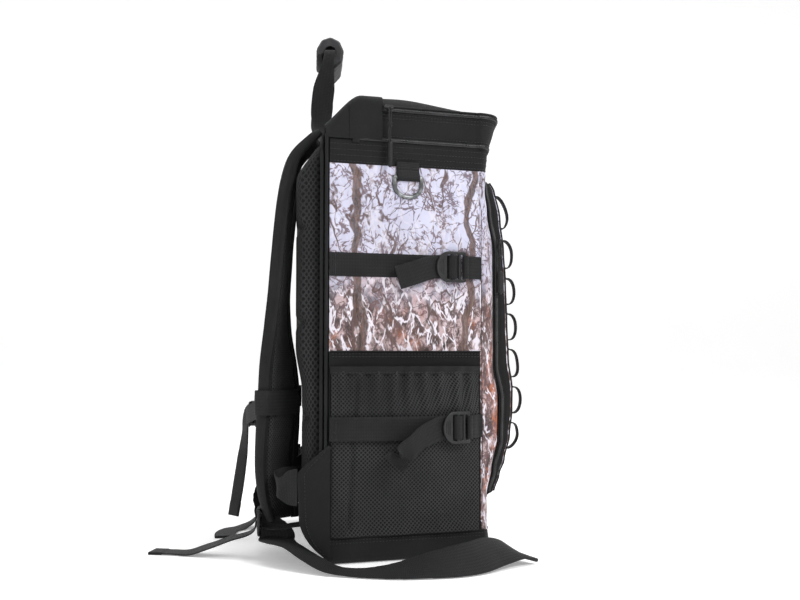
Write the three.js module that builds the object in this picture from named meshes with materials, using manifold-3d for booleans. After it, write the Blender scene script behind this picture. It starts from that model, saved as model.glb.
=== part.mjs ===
// A framed hunting backpack: a tapered box of sewn panels with a zipped lid,
// a fold-down front pocket, mesh side pockets, two padded shoulder straps and a waist belt.
// Millimetres. +Z up, -Y is the front of the pack, +Y is the wearer's side.
// The origin is the middle of the base's underside.
import * as THREE from 'three';
import { mergeVertices } from 'three/addons/utils/BufferGeometryUtils.js';
import Module from 'manifold-3d';

const wasm = await Module();
wasm.setup();

// Driving dimensions
const BACK_HALF = 150;      // half the width at the back panel
const SEAM_HALF = 110;      // half the width at the front side seams
const BACK_Y = 90;          // plane of the back panel
const SEAM_Y = -80;         // the side panels end here
const CORNER_HALF = 86;     // the rounded front corners end here
const WALL = 3;             // padded fabric
const WEB = 1.5;            // webbing thickness
const GAP = 0.3;            // between pieces that touch
const BOOT_TOP = 27.5;
const CAMO_BOTTOM = 219;
const CAMO_TOP = 417;
const ZIP_Z = 443;          // main zip, under the lid
const LID_TOP = 478;        // lid zip, under the flap
const LID_HINGE_Y = 66;     // the lid folds back here
const FLAP_HINGE_Y = 30;
const STRAP_WEB = 25;       // compression and shoulder webbing
const BELT_WEB = 38;
const POCKET_HALF = 97;
const POCKET_BOTTOM = 66;
const POCKET_TOP = 410;

// Heights and depths of the front seam line: the load makes it bulge above the base.
const FRONT_PROFILE = [
  [0, -90], [38, -88], [64, -87], [91, -94], [124, -102], [168, -103],
  [205, -97], [330, -97], [373, -90], [397, -87], [417, -88], [443, -90],
];
// The same for the front pocket's face, near its side edge.
const POCKET_PROFILE = [
  [66, -95.5], [85, -101.5], [101, -107.5], [128, -113.5], [155, -116.5], [180, -117],
  [213, -113], [250, -111.5], [298, -110], [330, -108], [365, -104.5], [398, -99], [410, -97],
];

const group = new THREE.Group();
const vec = (x, y, z) => new THREE.Vector3(x, y, z);
const lerp = THREE.MathUtils.lerp;
const radians = THREE.MathUtils.degToRad;

// Materials
const makeMaterial = (color, roughness, metalness = 0) => (
  new THREE.MeshStandardMaterial({ color, roughness, metalness })
);
const blackFabric = makeMaterial(0x1c1c1e, 0.85);
const camoFabric = makeMaterial(0x8d8382, 0.8);
const meshFabric = makeMaterial(0x151517, 0.95);
const webbing = makeMaterial(0x202022, 0.8);
const plastic = makeMaterial(0x17171a, 0.4);
const steel = makeMaterial(0x55565a, 0.35, 0.9);
const sheetPlastic = makeMaterial(0x303034, 0.5);
const cordMaterial = makeMaterial(0x1a1a1a, 0.8);

// Geometry helpers

// A value at height z on a smooth curve through [height, value] pairs.
function profile(pairs, z) {
  const last = pairs.length - 1;
  if (z <= pairs[0][0]) return pairs[0][1];
  if (z >= pairs[last][0]) return pairs[last][1];
  const i = pairs.findIndex((pair, k) => k < last && z >= pair[0] && z <= pairs[k + 1][0]);
  const [z0, a] = pairs[i];
  const [z1, b] = pairs[i + 1];
  const t = (z - z0) / (z1 - z0);
  return lerp(a, b, t * t * (3 - 2 * t));
}

function signedVolume(geometry) {
  const p = geometry.attributes.position;
  const index = geometry.index.array;
  const a = new THREE.Vector3();
  const b = new THREE.Vector3();
  const c = new THREE.Vector3();
  let total = 0;
  for (let i = 0; i < index.length; i += 3) {
    a.fromBufferAttribute(p, index[i]);
    b.fromBufferAttribute(p, index[i + 1]);
    c.fromBufferAttribute(p, index[i + 2]);
    total += a.dot(b.cross(c));
  }
  return total;
}

function turnOutward(geometry) {
  if (signedVolume(geometry) < 0) {
    const index = geometry.index.array;
    for (let i = 0; i < index.length; i += 3) {
      [index[i], index[i + 1]] = [index[i + 1], index[i]];
    }
  }
  return geometry;
}

// Triangles that cap one closed ring of points, as indices into it.
function capTriangles(ring) {
  const normal = new THREE.Vector3();
  ring.forEach((p, i) => normal.add(p.clone().cross(ring[(i + 1) % ring.length])));
  const size = normal.toArray().map(Math.abs);
  const drop = size.indexOf(Math.max(...size));
  const keep = [0, 1, 2].filter((axis) => axis !== drop);
  const flat = ring.map((p) => {
    const a = p.toArray();
    return new THREE.Vector2(a[keep[0]], a[keep[1]]);
  });
  const clockwise = THREE.ShapeUtils.isClockWise(flat);
  const faces = THREE.ShapeUtils.triangulateShape(clockwise ? flat.slice().reverse() : flat, []);
  const n = ring.length - 1;
  const shifted = ring[0].clone();
  return faces.map((face) => face.map((k) => (clockwise ? n - k : k))).map((face) => {
    const [a, b, c] = face.map((k) => ring[k].clone().sub(shifted));
    const turned = b.sub(a).cross(c.sub(a)).dot(normal) < 0;
    return turned ? [face[1], face[0], face[2]] : face;
  });
}

// A closed solid through rings of points, all of one length.
function loft(rings) {
  const size = rings[0].length;
  const positions = rings.flat().flatMap((p) => p.toArray());
  const index = [];
  for (let r = 0; r + 1 < rings.length; r += 1) {
    for (let k = 0; k < size; k += 1) {
      const a = r * size + k;
      const b = r * size + ((k + 1) % size);
      index.push(a, b, b + size, a, b + size, a + size);
    }
  }
  const start = capTriangles(rings[0]);
  const end = capTriangles(rings[rings.length - 1]);
  const offset = (rings.length - 1) * size;
  start.forEach(([a, b, c]) => index.push(a, c, b));
  end.forEach(([a, b, c]) => index.push(offset + a, offset + b, offset + c));
  const geometry = new THREE.BufferGeometry();
  geometry.setAttribute('position', new THREE.Float32BufferAttribute(positions, 3));
  geometry.setIndex(index);
  return turnOutward(geometry);
}

function toManifold(geometry) {
  const bare = geometry.clone();
  bare.deleteAttribute('normal');
  bare.deleteAttribute('uv');
  const merged = mergeVertices(bare, 1e-4);
  return new wasm.Manifold(new wasm.Mesh({
    numProp: 3,
    vertProperties: new Float32Array(merged.attributes.position.array),
    triVerts: new Uint32Array(merged.index.array),
  }));
}

function fromManifold(solid) {
  const mesh = solid.getMesh();
  const geometry = new THREE.BufferGeometry();
  geometry.setAttribute('position', new THREE.BufferAttribute(mesh.vertProperties, 3));
  geometry.setIndex(new THREE.BufferAttribute(mesh.triVerts, 1));
  return geometry;
}

function cut(base, ...tools) {
  return fromManifold(tools.reduce((s, tool) => s.subtract(toManifold(tool)), toManifold(base)));
}

function join(base, ...more) {
  return fromManifold(more.reduce((s, tool) => s.add(toManifold(tool)), toManifold(base)));
}

// A box between two corners.
function block(x0, y0, z0, x1, y1, z1) {
  const box = new THREE.BoxGeometry(x1 - x0, y1 - y0, z1 - z0);
  return box.translate((x0 + x1) / 2, (y0 + y1) / 2, (z0 + z1) / 2);
}

function add(name, geometry, material) {
  const mesh = new THREE.Mesh(geometry, material);
  mesh.name = name;
  group.add(mesh);
  return mesh;
}

// The same shape on the other side of the pack.
function mirrored(geometry) {
  const copy = geometry.clone().scale(-1, 1, 1);
  if (!copy.index) return turnOutward(mergeVertices(copy.deleteAttribute('normal').deleteAttribute('uv')));
  return turnOutward(copy);
}

function bare(geometry) {
  const copy = geometry.clone();
  copy.deleteAttribute('normal');
  copy.deleteAttribute('uv');
  return mergeVertices(copy, 1e-4);
}

// A piece and its mirror image. The geometry is made for the left, on -X.
function addPair(name, geometry, material) {
  const left = bare(geometry);
  add(`${name}_left`, left, material);
  const right = left.clone().scale(-1, 1, 1);
  add(`${name}_right`, turnOutward(right), material);
}

// A solid of one (y, z) outline, reaching from x0 to x1.
function sidePrism(outline, x0, x1) {
  const shape = new THREE.Shape(outline.map(([y, z]) => new THREE.Vector2(y, z)));
  const prism = new THREE.ExtrudeGeometry(shape, { depth: x1 - x0, bevelEnabled: false });
  const turn = new THREE.Matrix4().makeBasis(vec(0, 1, 0), vec(0, 0, 1), vec(1, 0, 0));
  return prism.applyMatrix4(turn).translate(x0, 0, 0);
}

// A flat strip through stations {at, across}: across is the direction of its width.
function ribbon(stations, width, thickness) {
  const rings = stations.map((station, i) => {
    const before = stations[Math.max(i - 1, 0)].at;
    const after = stations[Math.min(i + 1, stations.length - 1)].at;
    const along = after.clone().sub(before).normalize();
    const across = station.across.clone().addScaledVector(along, -along.dot(station.across));
    across.normalize();
    const up = along.clone().cross(across).multiplyScalar((station.thick ?? thickness) / 2);
    across.multiplyScalar((station.width ?? width) / 2);
    return [[-1, -1], [1, -1], [1, 1], [-1, 1]].map(([a, b]) => (
      station.at.clone().addScaledVector(across, a).addScaledVector(up, b)
    ));
  });
  return loft(rings);
}

// Stations evenly spaced on smooth curves through the given ones.
function smooth(stations, count) {
  const path = new THREE.CatmullRomCurve3(stations.map((s) => s.at), false, 'centripetal');
  const turn = new THREE.CatmullRomCurve3(stations.map((s) => s.across), false, 'centripetal');
  const between = (key, t) => {
    const place = t * (stations.length - 1);
    const i = Math.min(Math.floor(place), stations.length - 2);
    return stations[0][key] && lerp(stations[i][key], stations[i + 1][key], place - i);
  };
  return Array.from({ length: count + 1 }, (_, i) => ({
    at: path.getPoint(i / count),
    across: turn.getPoint(i / count).normalize(),
    width: between('width', i / count),
    thick: between('thick', i / count),
  }));
}

// Plan outline of the body

const sideHalf = (y) => lerp(SEAM_HALF, BACK_HALF, (y - SEAM_Y) / (BACK_Y - SEAM_Y));
const frontY = (z) => profile(FRONT_PROFILE, z);

// The rounded front corner on the left; part runs from 0 at the side seam to 1 at the front.
function corner(part, z) {
  const front = frontY(z);
  const curve = new THREE.QuadraticBezierCurve(
    new THREE.Vector2(-SEAM_HALF, SEAM_Y),
    new THREE.Vector2(-sideHalf(front), front),
    new THREE.Vector2(-CORNER_HALF, front),
  );
  return curve.getPoint(part);
}

const STRIP_END = 0.65;     // the corner strip covers this part of the corner
const cornerPoints = (from, to, count, z) => (
  Array.from({ length: count + 1 }, (_, i) => corner(lerp(from, to, i / count), z))
);
const flip = (points) => points.map((p) => new THREE.Vector2(-p.x, p.y)).reverse();

// A ring for one height: an outer line on the plan and the same line moved inward by thickness.
function wallRing(line, z, thickness) {
  const normals = line.map((p, i) => {
    const a = line[Math.max(i - 1, 0)];
    const b = line[Math.min(i + 1, line.length - 1)];
    const along = b.clone().sub(a).normalize();
    return new THREE.Vector2(-along.y, along.x);
  });
  const inner = line.map((p, i) => p.clone().addScaledVector(normals[i], thickness));
  return [...line, ...inner.reverse()].map((p) => vec(p.x, p.y, z));
}

function wall(lineAt, heights, thickness = WALL) {
  return loft(heights.map((z) => wallRing(lineAt(z), z, thickness)));
}

const steps = (from, to, count) => (
  Array.from({ length: count + 1 }, (_, i) => lerp(from, to, i / count))
);

// The front, both sides and both corners in one line, from the left back edge round to the right.
function openLine(z, backY) {
  const left = [new THREE.Vector2(-sideHalf(backY), backY), ...cornerPoints(0, 1, 4, z)];
  return [...left, ...flip(left)];
}

// Shell panels
const bodyHeights = steps(BOOT_TOP + GAP, CAMO_TOP - GAP, 16);
const sideBack = BACK_Y - WALL - 1.2;

const sidePlate = (z0, z1) => wall(() => [
  new THREE.Vector2(-sideHalf(sideBack), sideBack),
  new THREE.Vector2(-sideHalf(SEAM_Y + 1.2), SEAM_Y + 1.2),
], [z0, z1]);

addPair('side_panel', sidePlate(CAMO_BOTTOM + GAP, CAMO_TOP - GAP), camoFabric);
addPair('side_lower', sidePlate(BOOT_TOP + GAP, CAMO_BOTTOM), blackFabric);
addPair('corner_strip', wall((z) => cornerPoints(0.03, STRIP_END, 3, z), bodyHeights), camoFabric);

function frontLine(z) {
  const left = [corner(STRIP_END + 0.09, z), corner(1, z)];
  return [...left, ...flip(left)];
}
add('front_panel', wall(frontLine, bodyHeights), blackFabric);
add('top_band', wall((z) => openLine(z, sideBack), [CAMO_TOP, 430, ZIP_Z - GAP]), blackFabric);
add('back_wall', bare(block(-149, BACK_Y - WALL, BOOT_TOP + GAP, 149, BACK_Y, 446)), blackFabric);
add('frame_sheet', bare(block(-138, 84.4, 36, 138, 86.4, 430)), sheetPlastic);

// Base boot: a tray with a chamfered foot
function closedRing(z, inset) {
  const line = openLine(z, BACK_Y);
  return wallRing(line, z, inset).slice(line.length).map((p) => (
    vec(p.x, Math.min(p.y, BACK_Y - inset), z)
  ));
}
const bootOuter = loft([closedRing(0, 5), closedRing(5, 0.01), closedRing(BOOT_TOP, 0.01)]);
const bootInner = loft([closedRing(4, 4), closedRing(BOOT_TOP + 1, 4)]);
add('base_boot', cut(bootOuter, bootInner), blackFabric);

// Back pad: a rounded slab of foam under spacer mesh
function roundedSlab(halfWidth, z0, z1, radius, y0, y1, bevel) {
  const shape = new THREE.Shape();
  shape.moveTo(-halfWidth + radius, z0);
  shape.lineTo(halfWidth - radius, z0);
  shape.absarc(halfWidth - radius, z0 + radius, radius, -Math.PI / 2, 0);
  shape.absarc(halfWidth - radius, z1 - radius, radius, 0, Math.PI / 2);
  shape.absarc(-halfWidth + radius, z1 - radius, radius, Math.PI / 2, Math.PI);
  shape.absarc(-halfWidth + radius, z0 + radius, radius, Math.PI, 1.5 * Math.PI);
  const slab = new THREE.ExtrudeGeometry(shape, {
    depth: y1 - y0 - 2 * bevel,
    bevelEnabled: true,
    bevelThickness: bevel,
    bevelSize: bevel,
    bevelOffset: -bevel,
    bevelSegments: 2,
    curveSegments: 5,
  });
  return bare(slab.rotateX(Math.PI / 2).translate(0, y1 - bevel, 0));
}
const PAD_BOTTOM = 43;
const PAD_TOP = 445;
const PAD_FACE = 118;
function backPad() {
  const slab = roundedSlab(146, PAD_BOTTOM, PAD_TOP, 22, BACK_Y + GAP, PAD_FACE, 5);
  // Thinner under the waist belt, and sloped back under the roots of the straps.
  const low = [[113, 30], [125, 30], [125, 220], [PAD_FACE + 0.5, 220], [113, 188]];
  const high = [[PAD_FACE + 0.5, 405], [125, 405], [125, 460], [93, 460]];
  return cut(slab, sidePrism(low, -160, 160), sidePrism(high, -160, 160));
}
add('back_pad', backPad(), meshFabric);

// Lid yoke: the fixed back of the top, from the back wall up to the lid's fold
function yokeRing(x, thickness) {
  const low = ZIP_Z + GAP;
  const back = BACK_Y;
  const top = LID_TOP - GAP;
  const fold = LID_HINGE_Y + 0.5;
  return [
    vec(x, back, 446 + GAP), vec(x, back, 452), vec(x, fold, top),
    vec(x, fold, top - thickness), vec(x, back - thickness, 450), vec(x, back - thickness, 446 + GAP),
  ].map((p) => vec(Math.sign(x) * Math.min(Math.abs(x), sideHalf(p.y) - 0.5), p.y, Math.max(p.z, low)));
}
const yokeSkin = loft([yokeRing(-160, WALL), yokeRing(160, WALL)]);
function yokeCheek() {
  const ring = (inset) => [
    [LID_HINGE_Y + 0.5, ZIP_Z + GAP], [sideBack, ZIP_Z + GAP],
    [sideBack, 451], [LID_HINGE_Y + 0.5, LID_TOP - 2.5],
  ].map(([y, z]) => vec(-(sideHalf(y) - 0.5 - inset), y, z));
  return loft([ring(0), ring(WALL)]);
}
const leftCheek = yokeCheek();
add('lid_yoke', join(yokeSkin, leftCheek, mirrored(leftCheek)), blackFabric);

// Lid: a shallow box with its own floor, closed at the rear top and open under the flap
const LID_FRONT = 10;       // the lid's top rim leans out past the zip by this much
function lidLine(z, inset) {
  const rise = (z - ZIP_Z) / (LID_TOP - ZIP_Z);
  const lean = LID_FRONT * rise;
  const back = LID_HINGE_Y - 0.5;
  const front = -90 - lean;
  const curve = new THREE.QuadraticBezierCurve(
    new THREE.Vector2(-SEAM_HALF - 1.5, SEAM_Y),
    new THREE.Vector2(-sideHalf(front) - 1, front),
    new THREE.Vector2(-CORNER_HALF, front - 1),
  );
  const left = [new THREE.Vector2(-sideHalf(back), back), ...curve.getPoints(4)];
  const line = [...left, new THREE.Vector2(0, front - 4), ...flip(left)];
  const ring = wallRing(line, z, Math.max(inset, 0.001)).slice(line.length);
  return ring.map((p) => vec(p.x, Math.min(p.y, back - inset), z));
}
const lidOuter = loft([lidLine(ZIP_Z + GAP, 0), lidLine(LID_TOP, 0)]);
const lidInner = loft([lidLine(ZIP_Z + 3, WALL), lidLine(LID_TOP + 1, WALL)]);
const lidRear = block(-137, FLAP_HINGE_Y + GAP, LID_TOP - 2, 137, LID_HINGE_Y - 1, LID_TOP);
const lidRearTrim = loft([lidLine(LID_TOP - 2, 0.5), lidLine(LID_TOP, 0.5)]);
const lidRearPlate = fromManifold(toManifold(lidRear).intersect(toManifold(lidRearTrim)));
add('lid_shell', join(cut(lidOuter, lidInner), lidRearPlate), blackFabric);

// Lid flap: the crowned cover of the lid pocket
function flapRing(y, thickness) {
  const along = (FLAP_HINGE_Y - y) / (FLAP_HINGE_Y + 104);
  const crown = 3 + 6 * Math.sin(Math.PI * Math.min(along + 0.12, 1));
  const outline = y < SEAM_Y - 1 ? lerp(SEAM_HALF, 80, ((SEAM_Y - y) / 24) ** 2) : sideHalf(y);
  const half = outline + 1;
  const low = LID_TOP + GAP;
  const columns = [-1, -0.8, -0.4, 0, 0.4, 0.8, 1];
  const topOf = (u) => low + thickness + crown * (1 - u * u);
  const top = columns.map((u) => vec(u * half, y, topOf(u)));
  const under = columns.map((u) => vec(u * half, y, Math.max(low, topOf(u) - thickness)));
  return [...top, ...under.reverse()];
}
add('lid_flap', loft([29.7, 0, -40, -80, -92, -104].map((y) => flapRing(y, 2.5))), blackFabric);

// Front pocket: a shallow tray, hinged along its bottom edge
const pocketFace = (z) => profile(POCKET_PROFILE, z);
const POCKET_CROWN = 7;
function pocketHalf(z) {
  const radius = 30;
  const over = Math.max(z - (POCKET_TOP - radius), 0);
  return POCKET_HALF - radius + Math.sqrt(Math.max(radius * radius - over * over, 100));
}
function pocketRing(z, inset) {
  const half = pocketHalf(z) - inset;
  const rim = frontY(z) - 2;
  const face = pocketFace(z) + inset;
  const crown = POCKET_CROWN * Math.sin(Math.PI * THREE.MathUtils.clamp((z - 50) / 370, 0, 1));
  const back = inset ? rim + 2 : rim;
  const outer = [
    [-half, back], [-half, lerp(rim, face, 0.6)], [-half + 5, face], [-half * 0.5, face - crown * 0.75],
    [0, face - crown], [half * 0.5, face - crown * 0.75], [half - 5, face],
    [half, lerp(rim, face, 0.6)], [half, back],
  ];
  return outer.map(([x, y]) => vec(x, y, z));
}
const pocketHeights = [66, 85, 101, 128, 155, 180, 213, 250, 298, 330, 365, 386, 400, POCKET_TOP];
const pocketOuter = loft(pocketHeights.map((z) => pocketRing(z, 0)));
const pocketInner = loft(pocketHeights.map((z) => {
  const inside = lerp(POCKET_BOTTOM + 2.5, POCKET_TOP - 2.5, (z - 66) / (POCKET_TOP - 66));
  return pocketRing(inside, 2.5);
}));
add('front_pocket', cut(pocketOuter, pocketInner), camoFabric);

// Daisy chain: a strip of webbing sewn down at bar tacks, slack between them
const DAISY_X = -72;
const DAISY_TACKS = [395, 345, 302, 262, 222, 180, 140, 101];
function daisyStations() {
  const standOff = (z) => {
    const half = pocketHalf(z);
    const u = Math.abs(DAISY_X) / half;
    const crown = POCKET_CROWN * Math.sin(Math.PI * THREE.MathUtils.clamp((z - 50) / 370, 0, 1));
    return pocketFace(z) - crown * 1.05 * (1 - u) - 2.6;
  };
  const stations = [];
  DAISY_TACKS.slice(0, -1).forEach((top, i) => {
    const bottom = DAISY_TACKS[i + 1];
    const loops = 6;
    for (let k = 0; k < loops; k += 1) {
      const t = k / loops;
      const z = lerp(top, bottom, t);
      const out = 12 * Math.sin(Math.PI * t) ** 0.8;
      const lean = 3 * Math.sin(2 * Math.PI * t);
      stations.push({ at: vec(DAISY_X, standOff(z) - out, z - lean), across: vec(1, 0, 0) });
    }
  });
  const end = DAISY_TACKS[DAISY_TACKS.length - 1];
  stations.push({ at: vec(DAISY_X, standOff(end), end), across: vec(1, 0, 0) });
  stations.push({ at: vec(DAISY_X, standOff(end - 12), end - 12), across: vec(1, 0, 0) });
  return stations;
}
addPair('daisy_chain', ribbon(daisyStations(), 12, 1.2), webbing);

// Mesh side pockets: gathered at the top, tapering to the boot
const MESH_TOP = 201;
const MESH_BACK = 84;
const MESH_FRONT = -76;
const meshBulge = (z) => lerp(2.5, 15, THREE.MathUtils.smoothstep(z, 30, 130));
const sideArch = (y) => 1 - ((y - (MESH_BACK + MESH_FRONT) / 2) / ((MESH_BACK - MESH_FRONT) / 2)) ** 2;
const sideSlope = Math.atan2(BACK_HALF - SEAM_HALF, BACK_Y - SEAM_Y);
function offSide(y, out) {
  return new THREE.Vector2(-sideHalf(y) - out * Math.cos(sideSlope), y - out * Math.sin(sideSlope));
}
const meshLine = (z) => [MESH_BACK, 70, 45, 4, -37, -62, MESH_FRONT].map((y) => (
  offSide(y, 2.2 + meshBulge(z) * sideArch(y) ** 0.8)
));
addPair('mesh_pocket', wall(meshLine, [28, 55, 85, 110, 130, 165, MESH_TOP], 1.6), meshFabric);

// Compression straps. h is the height off the side, s the distance forward from the back seam.
const HARD_SEAM = 86;
function onSide(s, h, z, bulge) {
  const y = HARD_SEAM - s * Math.cos(sideSlope);
  const arch = Math.max(sideArch(THREE.MathUtils.clamp(y, MESH_FRONT, MESH_BACK)), 0) ** 0.8;
  const p = offSide(y, h + bulge * arch);
  return vec(p.x, p.y, z);
}
const LOCK_S = 135;         // middle bar of the ladder lock
function compressionStrap(z, base, bulge, tail) {
  const up = vec(0, 0, 1);
  const route = [
    [0, 1.4], [8, 1.4], [16, 1.4], [32, 1.4], [50, 1.4], [75, 1.4], [100, 1.4], [118, 1.4], [136, 1.4],
    [138.6, 2.2], [139.2, 4], [139.2, 8.4], [138, 9.9], [132, 9.9], [130.8, 8.4], [130.8, 5.8],
    [129.4, 4.4], [126, 4.2], [116, 4.2],
  ];
  const stations = route.map(([s, h]) => ({ at: onSide(s, base + h, z, bulge), across: up }));
  tail.forEach(({ s, h, drop, lean }) => stations.push({
    at: onSide(s, base + h, z - drop, bulge),
    across: vec(0, -Math.sin(radians(lean)), Math.cos(radians(lean))),
  }));
  return ribbon(stations, STRAP_WEB, WEB);
}
const UPPER_STRAP_Z = 310;
const LOWER_STRAP_Z = 139;
const LOWER_BASE = 2.6;     // the lower strap runs over the mesh pocket
const LOWER_BULGE = 16.5;
const upperTail = [
  { s: 106, h: 7, drop: 4, lean: 8 }, { s: 95, h: 9.5, drop: 9, lean: 14 },
  { s: 84, h: 10, drop: 15, lean: 16 }, { s: 72, h: 9, drop: 21, lean: 14 },
];
const lowerTail = [
  { s: 106, h: 7, drop: 3, lean: 8 }, { s: 92, h: 10, drop: 9, lean: 18 },
  { s: 80, h: 12, drop: 18, lean: 30 }, { s: 69, h: 12, drop: 27, lean: 42 },
  { s: 62, h: 11, drop: 36, lean: 50 },
];
addPair('compression_strap_upper', compressionStrap(UPPER_STRAP_Z, 0, 0, upperTail), webbing);
const lowerStrap = compressionStrap(LOWER_STRAP_Z, LOWER_BASE, LOWER_BULGE, lowerTail);
addPair('compression_strap_lower', lowerStrap, webbing);

// A ladder lock, flat in its own XY plane: x across the webbing, y towards the thumb tab
function ladderLock(web, length, thickness) {
  const half = web / 2 + 4.5;
  const shape = new THREE.Shape();
  shape.moveTo(-half, -length / 2);
  shape.lineTo(half, -length / 2);
  shape.lineTo(half, length / 2 - 7);
  shape.quadraticCurveTo(half - 3, length / 2, 0, length / 2 + 2);
  shape.quadraticCurveTo(-half + 3, length / 2, -half, length / 2 - 7);
  const slot = (y0, y1) => {
    const hole = new THREE.Path();
    hole.moveTo(-web / 2 - 0.8, y0);
    hole.lineTo(-web / 2 - 0.8, y1);
    hole.lineTo(web / 2 + 0.8, y1);
    hole.lineTo(web / 2 + 0.8, y0);
    shape.holes.push(hole);
  };
  slot(-length / 2 + 3, -length / 2 + 6.2);
  slot(-length / 2 + 8.6, -length / 2 + 13.4);
  slot(-length / 2 + 16.8, -length / 2 + 21.6);
  return new THREE.ExtrudeGeometry(shape, { depth: thickness, bevelEnabled: false, curveSegments: 5 });
}
const LOCK_LENGTH = 32;
const LOCK_THICK = 3.2;
function sideLock(z, base, bulge) {
  const lock = ladderLock(STRAP_WEB, LOCK_LENGTH, LOCK_THICK).translate(0, 0, -LOCK_THICK / 2);
  lock.rotateZ(Math.PI / 2).rotateX(Math.PI / 2);
  // Now: width along Z, thumb tab towards -X, thickness along Y. Turn the tab towards the back seam.
  const tab = onSide(LOCK_S - 10, base + 6.95, z, bulge);
  const front = onSide(LOCK_S + 10, base + 6.95, z, bulge);
  const direction = Math.atan2(tab.y - front.y, tab.x - front.x);
  lock.rotateZ(direction - Math.PI);
  const middle = tab.lerp(front, 0.45);
  return lock.translate(middle.x, middle.y, middle.z);
}
addPair('ladder_lock_upper', sideLock(UPPER_STRAP_Z, 0, 0), plastic);
addPair('ladder_lock_lower', sideLock(LOWER_STRAP_Z, LOWER_BASE, LOWER_BULGE), plastic);

// D-rings under webbing tabs
const RING_Y = 2.7;
const RING_Z = 404.5;
function sideFrame(geometry, y, z, out) {
  const p = offSide(y, out);
  return geometry.rotateZ(sideSlope).translate(p.x, p.y, z);
}
const tabFlat = block(-1.2, -12.7, 4.2, 1.2, 12.7, 17);
const tabHalf = block(-2.4, -12.7, -3.2, 2.4, 12.7, 4.4);
const tabBore = new THREE.CylinderGeometry(2.3, 2.3, 30, 12).scale(0.72, 1, 1);
const tabSlot = block(-1.4, -13, -0.2, 1.4, 13, 3);
const ringTab = cut(join(tabFlat, tabHalf), tabBore, tabSlot);
addPair('d_ring_tab', sideFrame(ringTab, RING_Y, RING_Z, 3.2), webbing);

function ringGeometry() {
  const halfWidth = 15.2;
  const wire = 1.55;
  const arc = Array.from({ length: 13 }, (_, i) => {
    const angle = Math.PI * (i / 12);
    return vec(0, halfWidth * Math.cos(angle), -8 - 13 * Math.sin(angle));
  });
  const points = [
    vec(0, halfWidth, 0), vec(0, halfWidth, -4), ...arc,
    vec(0, -halfWidth, -4), vec(0, -halfWidth, 0),
  ];
  const rings = points.map((p, i) => {
    const a = points[Math.max(i - 1, 0)];
    const b = points[Math.min(i + 1, points.length - 1)];
    const along = b.clone().sub(a).normalize();
    const side = along.clone().cross(vec(1, 0, 0));
    return Array.from({ length: 8 }, (_, k) => {
      const angle = (k / 8) * 2 * Math.PI;
      return p.clone().addScaledVector(side, wire * Math.cos(angle)).add(vec(wire * Math.sin(angle), 0, 0));
    });
  });
  const bow = loft(rings);
  const bar = bare(new THREE.CylinderGeometry(1.45, 1.45, 2 * halfWidth + 2.4, 8));
  return join(bow, bar);
}
addPair('d_ring', sideFrame(ringGeometry(), RING_Y, RING_Z, 3.2), steel);

// Fins: the triangular wings that carry the waist belt
function finGeometry() {
  const shape = new THREE.Shape();
  shape.moveTo(84, 6);
  shape.lineTo(98, 17);
  shape.quadraticCurveTo(112, 32, 114, 46);
  shape.lineTo(116, 95);
  shape.lineTo(84, 122);
  const fin = new THREE.ExtrudeGeometry(shape, { depth: 3, bevelEnabled: false, curveSegments: 5 });
  // Shape x is depth (Y), shape y is height (Z).
  fin.applyMatrix4(new THREE.Matrix4().makeBasis(vec(0, 1, 0), vec(0, 0, 1), vec(1, 0, 0)));
  return fin.translate(-BACK_HALF - 3.6, 0, 0);
}
addPair('fin', finGeometry(), blackFabric);

// Shoulder straps: x, y, z, twist in degrees, width, thickness
const STRAP_STATIONS = [
  [-77, 96, 458.5, 0, 62, 8], [-79, 103, 452.5, 0, 62, 11], [-80, 109.5, 446, 0, 62, 12],
  [-82, 117, 438, 0, 62, 13], [-84.5, 123.5, 428, 0, 62, 14], [-87, 128.5, 411, 0, 62, 15],
  [-89, 132.5, 388, 2, 62, 15], [-91.5, 135.5, 360, 3, 62, 15], [-94, 138, 328, 4, 62, 15],
  [-96, 140.5, 285, 6, 61, 15], [-97, 141.5, 240, 14, 60, 15], [-98, 140.5, 205, 26, 59, 15],
  [-98, 139.5, 170, 34, 58, 15], [-99, 140.5, 130, 38, 57, 15], [-100, 141.5, 95, 40, 54, 14],
  [-101, 139.5, 68, 41, 50, 13], [-101, 136, 52, 42, 47, 11], [-101, 133, 40.5, 43, 41, 8],
];
const strapAcross = (twist) => vec(Math.cos(radians(twist)), -Math.sin(radians(twist)), 0);
function strapRing([x, y, z, twist, width, thick], along) {
  const side = strapAcross(twist);
  const out = side.clone().cross(along).normalize();
  const ring = [];
  const corners = [[1, 0.3], [0.86, 0.85], [0.45, 1], [-0.45, 1], [-0.86, 0.85], [-1, 0.3]];
  const outline = [...corners, ...corners.map(([a, b]) => [-a, -b])];
  outline.forEach(([a, b]) => ring.push(
    vec(x, y, z).addScaledVector(side, (a * width) / 2).addScaledVector(out, (b * thick) / 2),
  ));
  return ring;
}
const strapPoints = STRAP_STATIONS.map(([x, y, z]) => vec(x, y, z));
addPair('shoulder_strap', loft(STRAP_STATIONS.map((station, i) => {
  const a = strapPoints[Math.max(i - 1, 0)];
  const b = strapPoints[Math.min(i + 1, strapPoints.length - 1)];
  return strapRing(station, b.clone().sub(a).normalize());
})), meshFabric);

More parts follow.
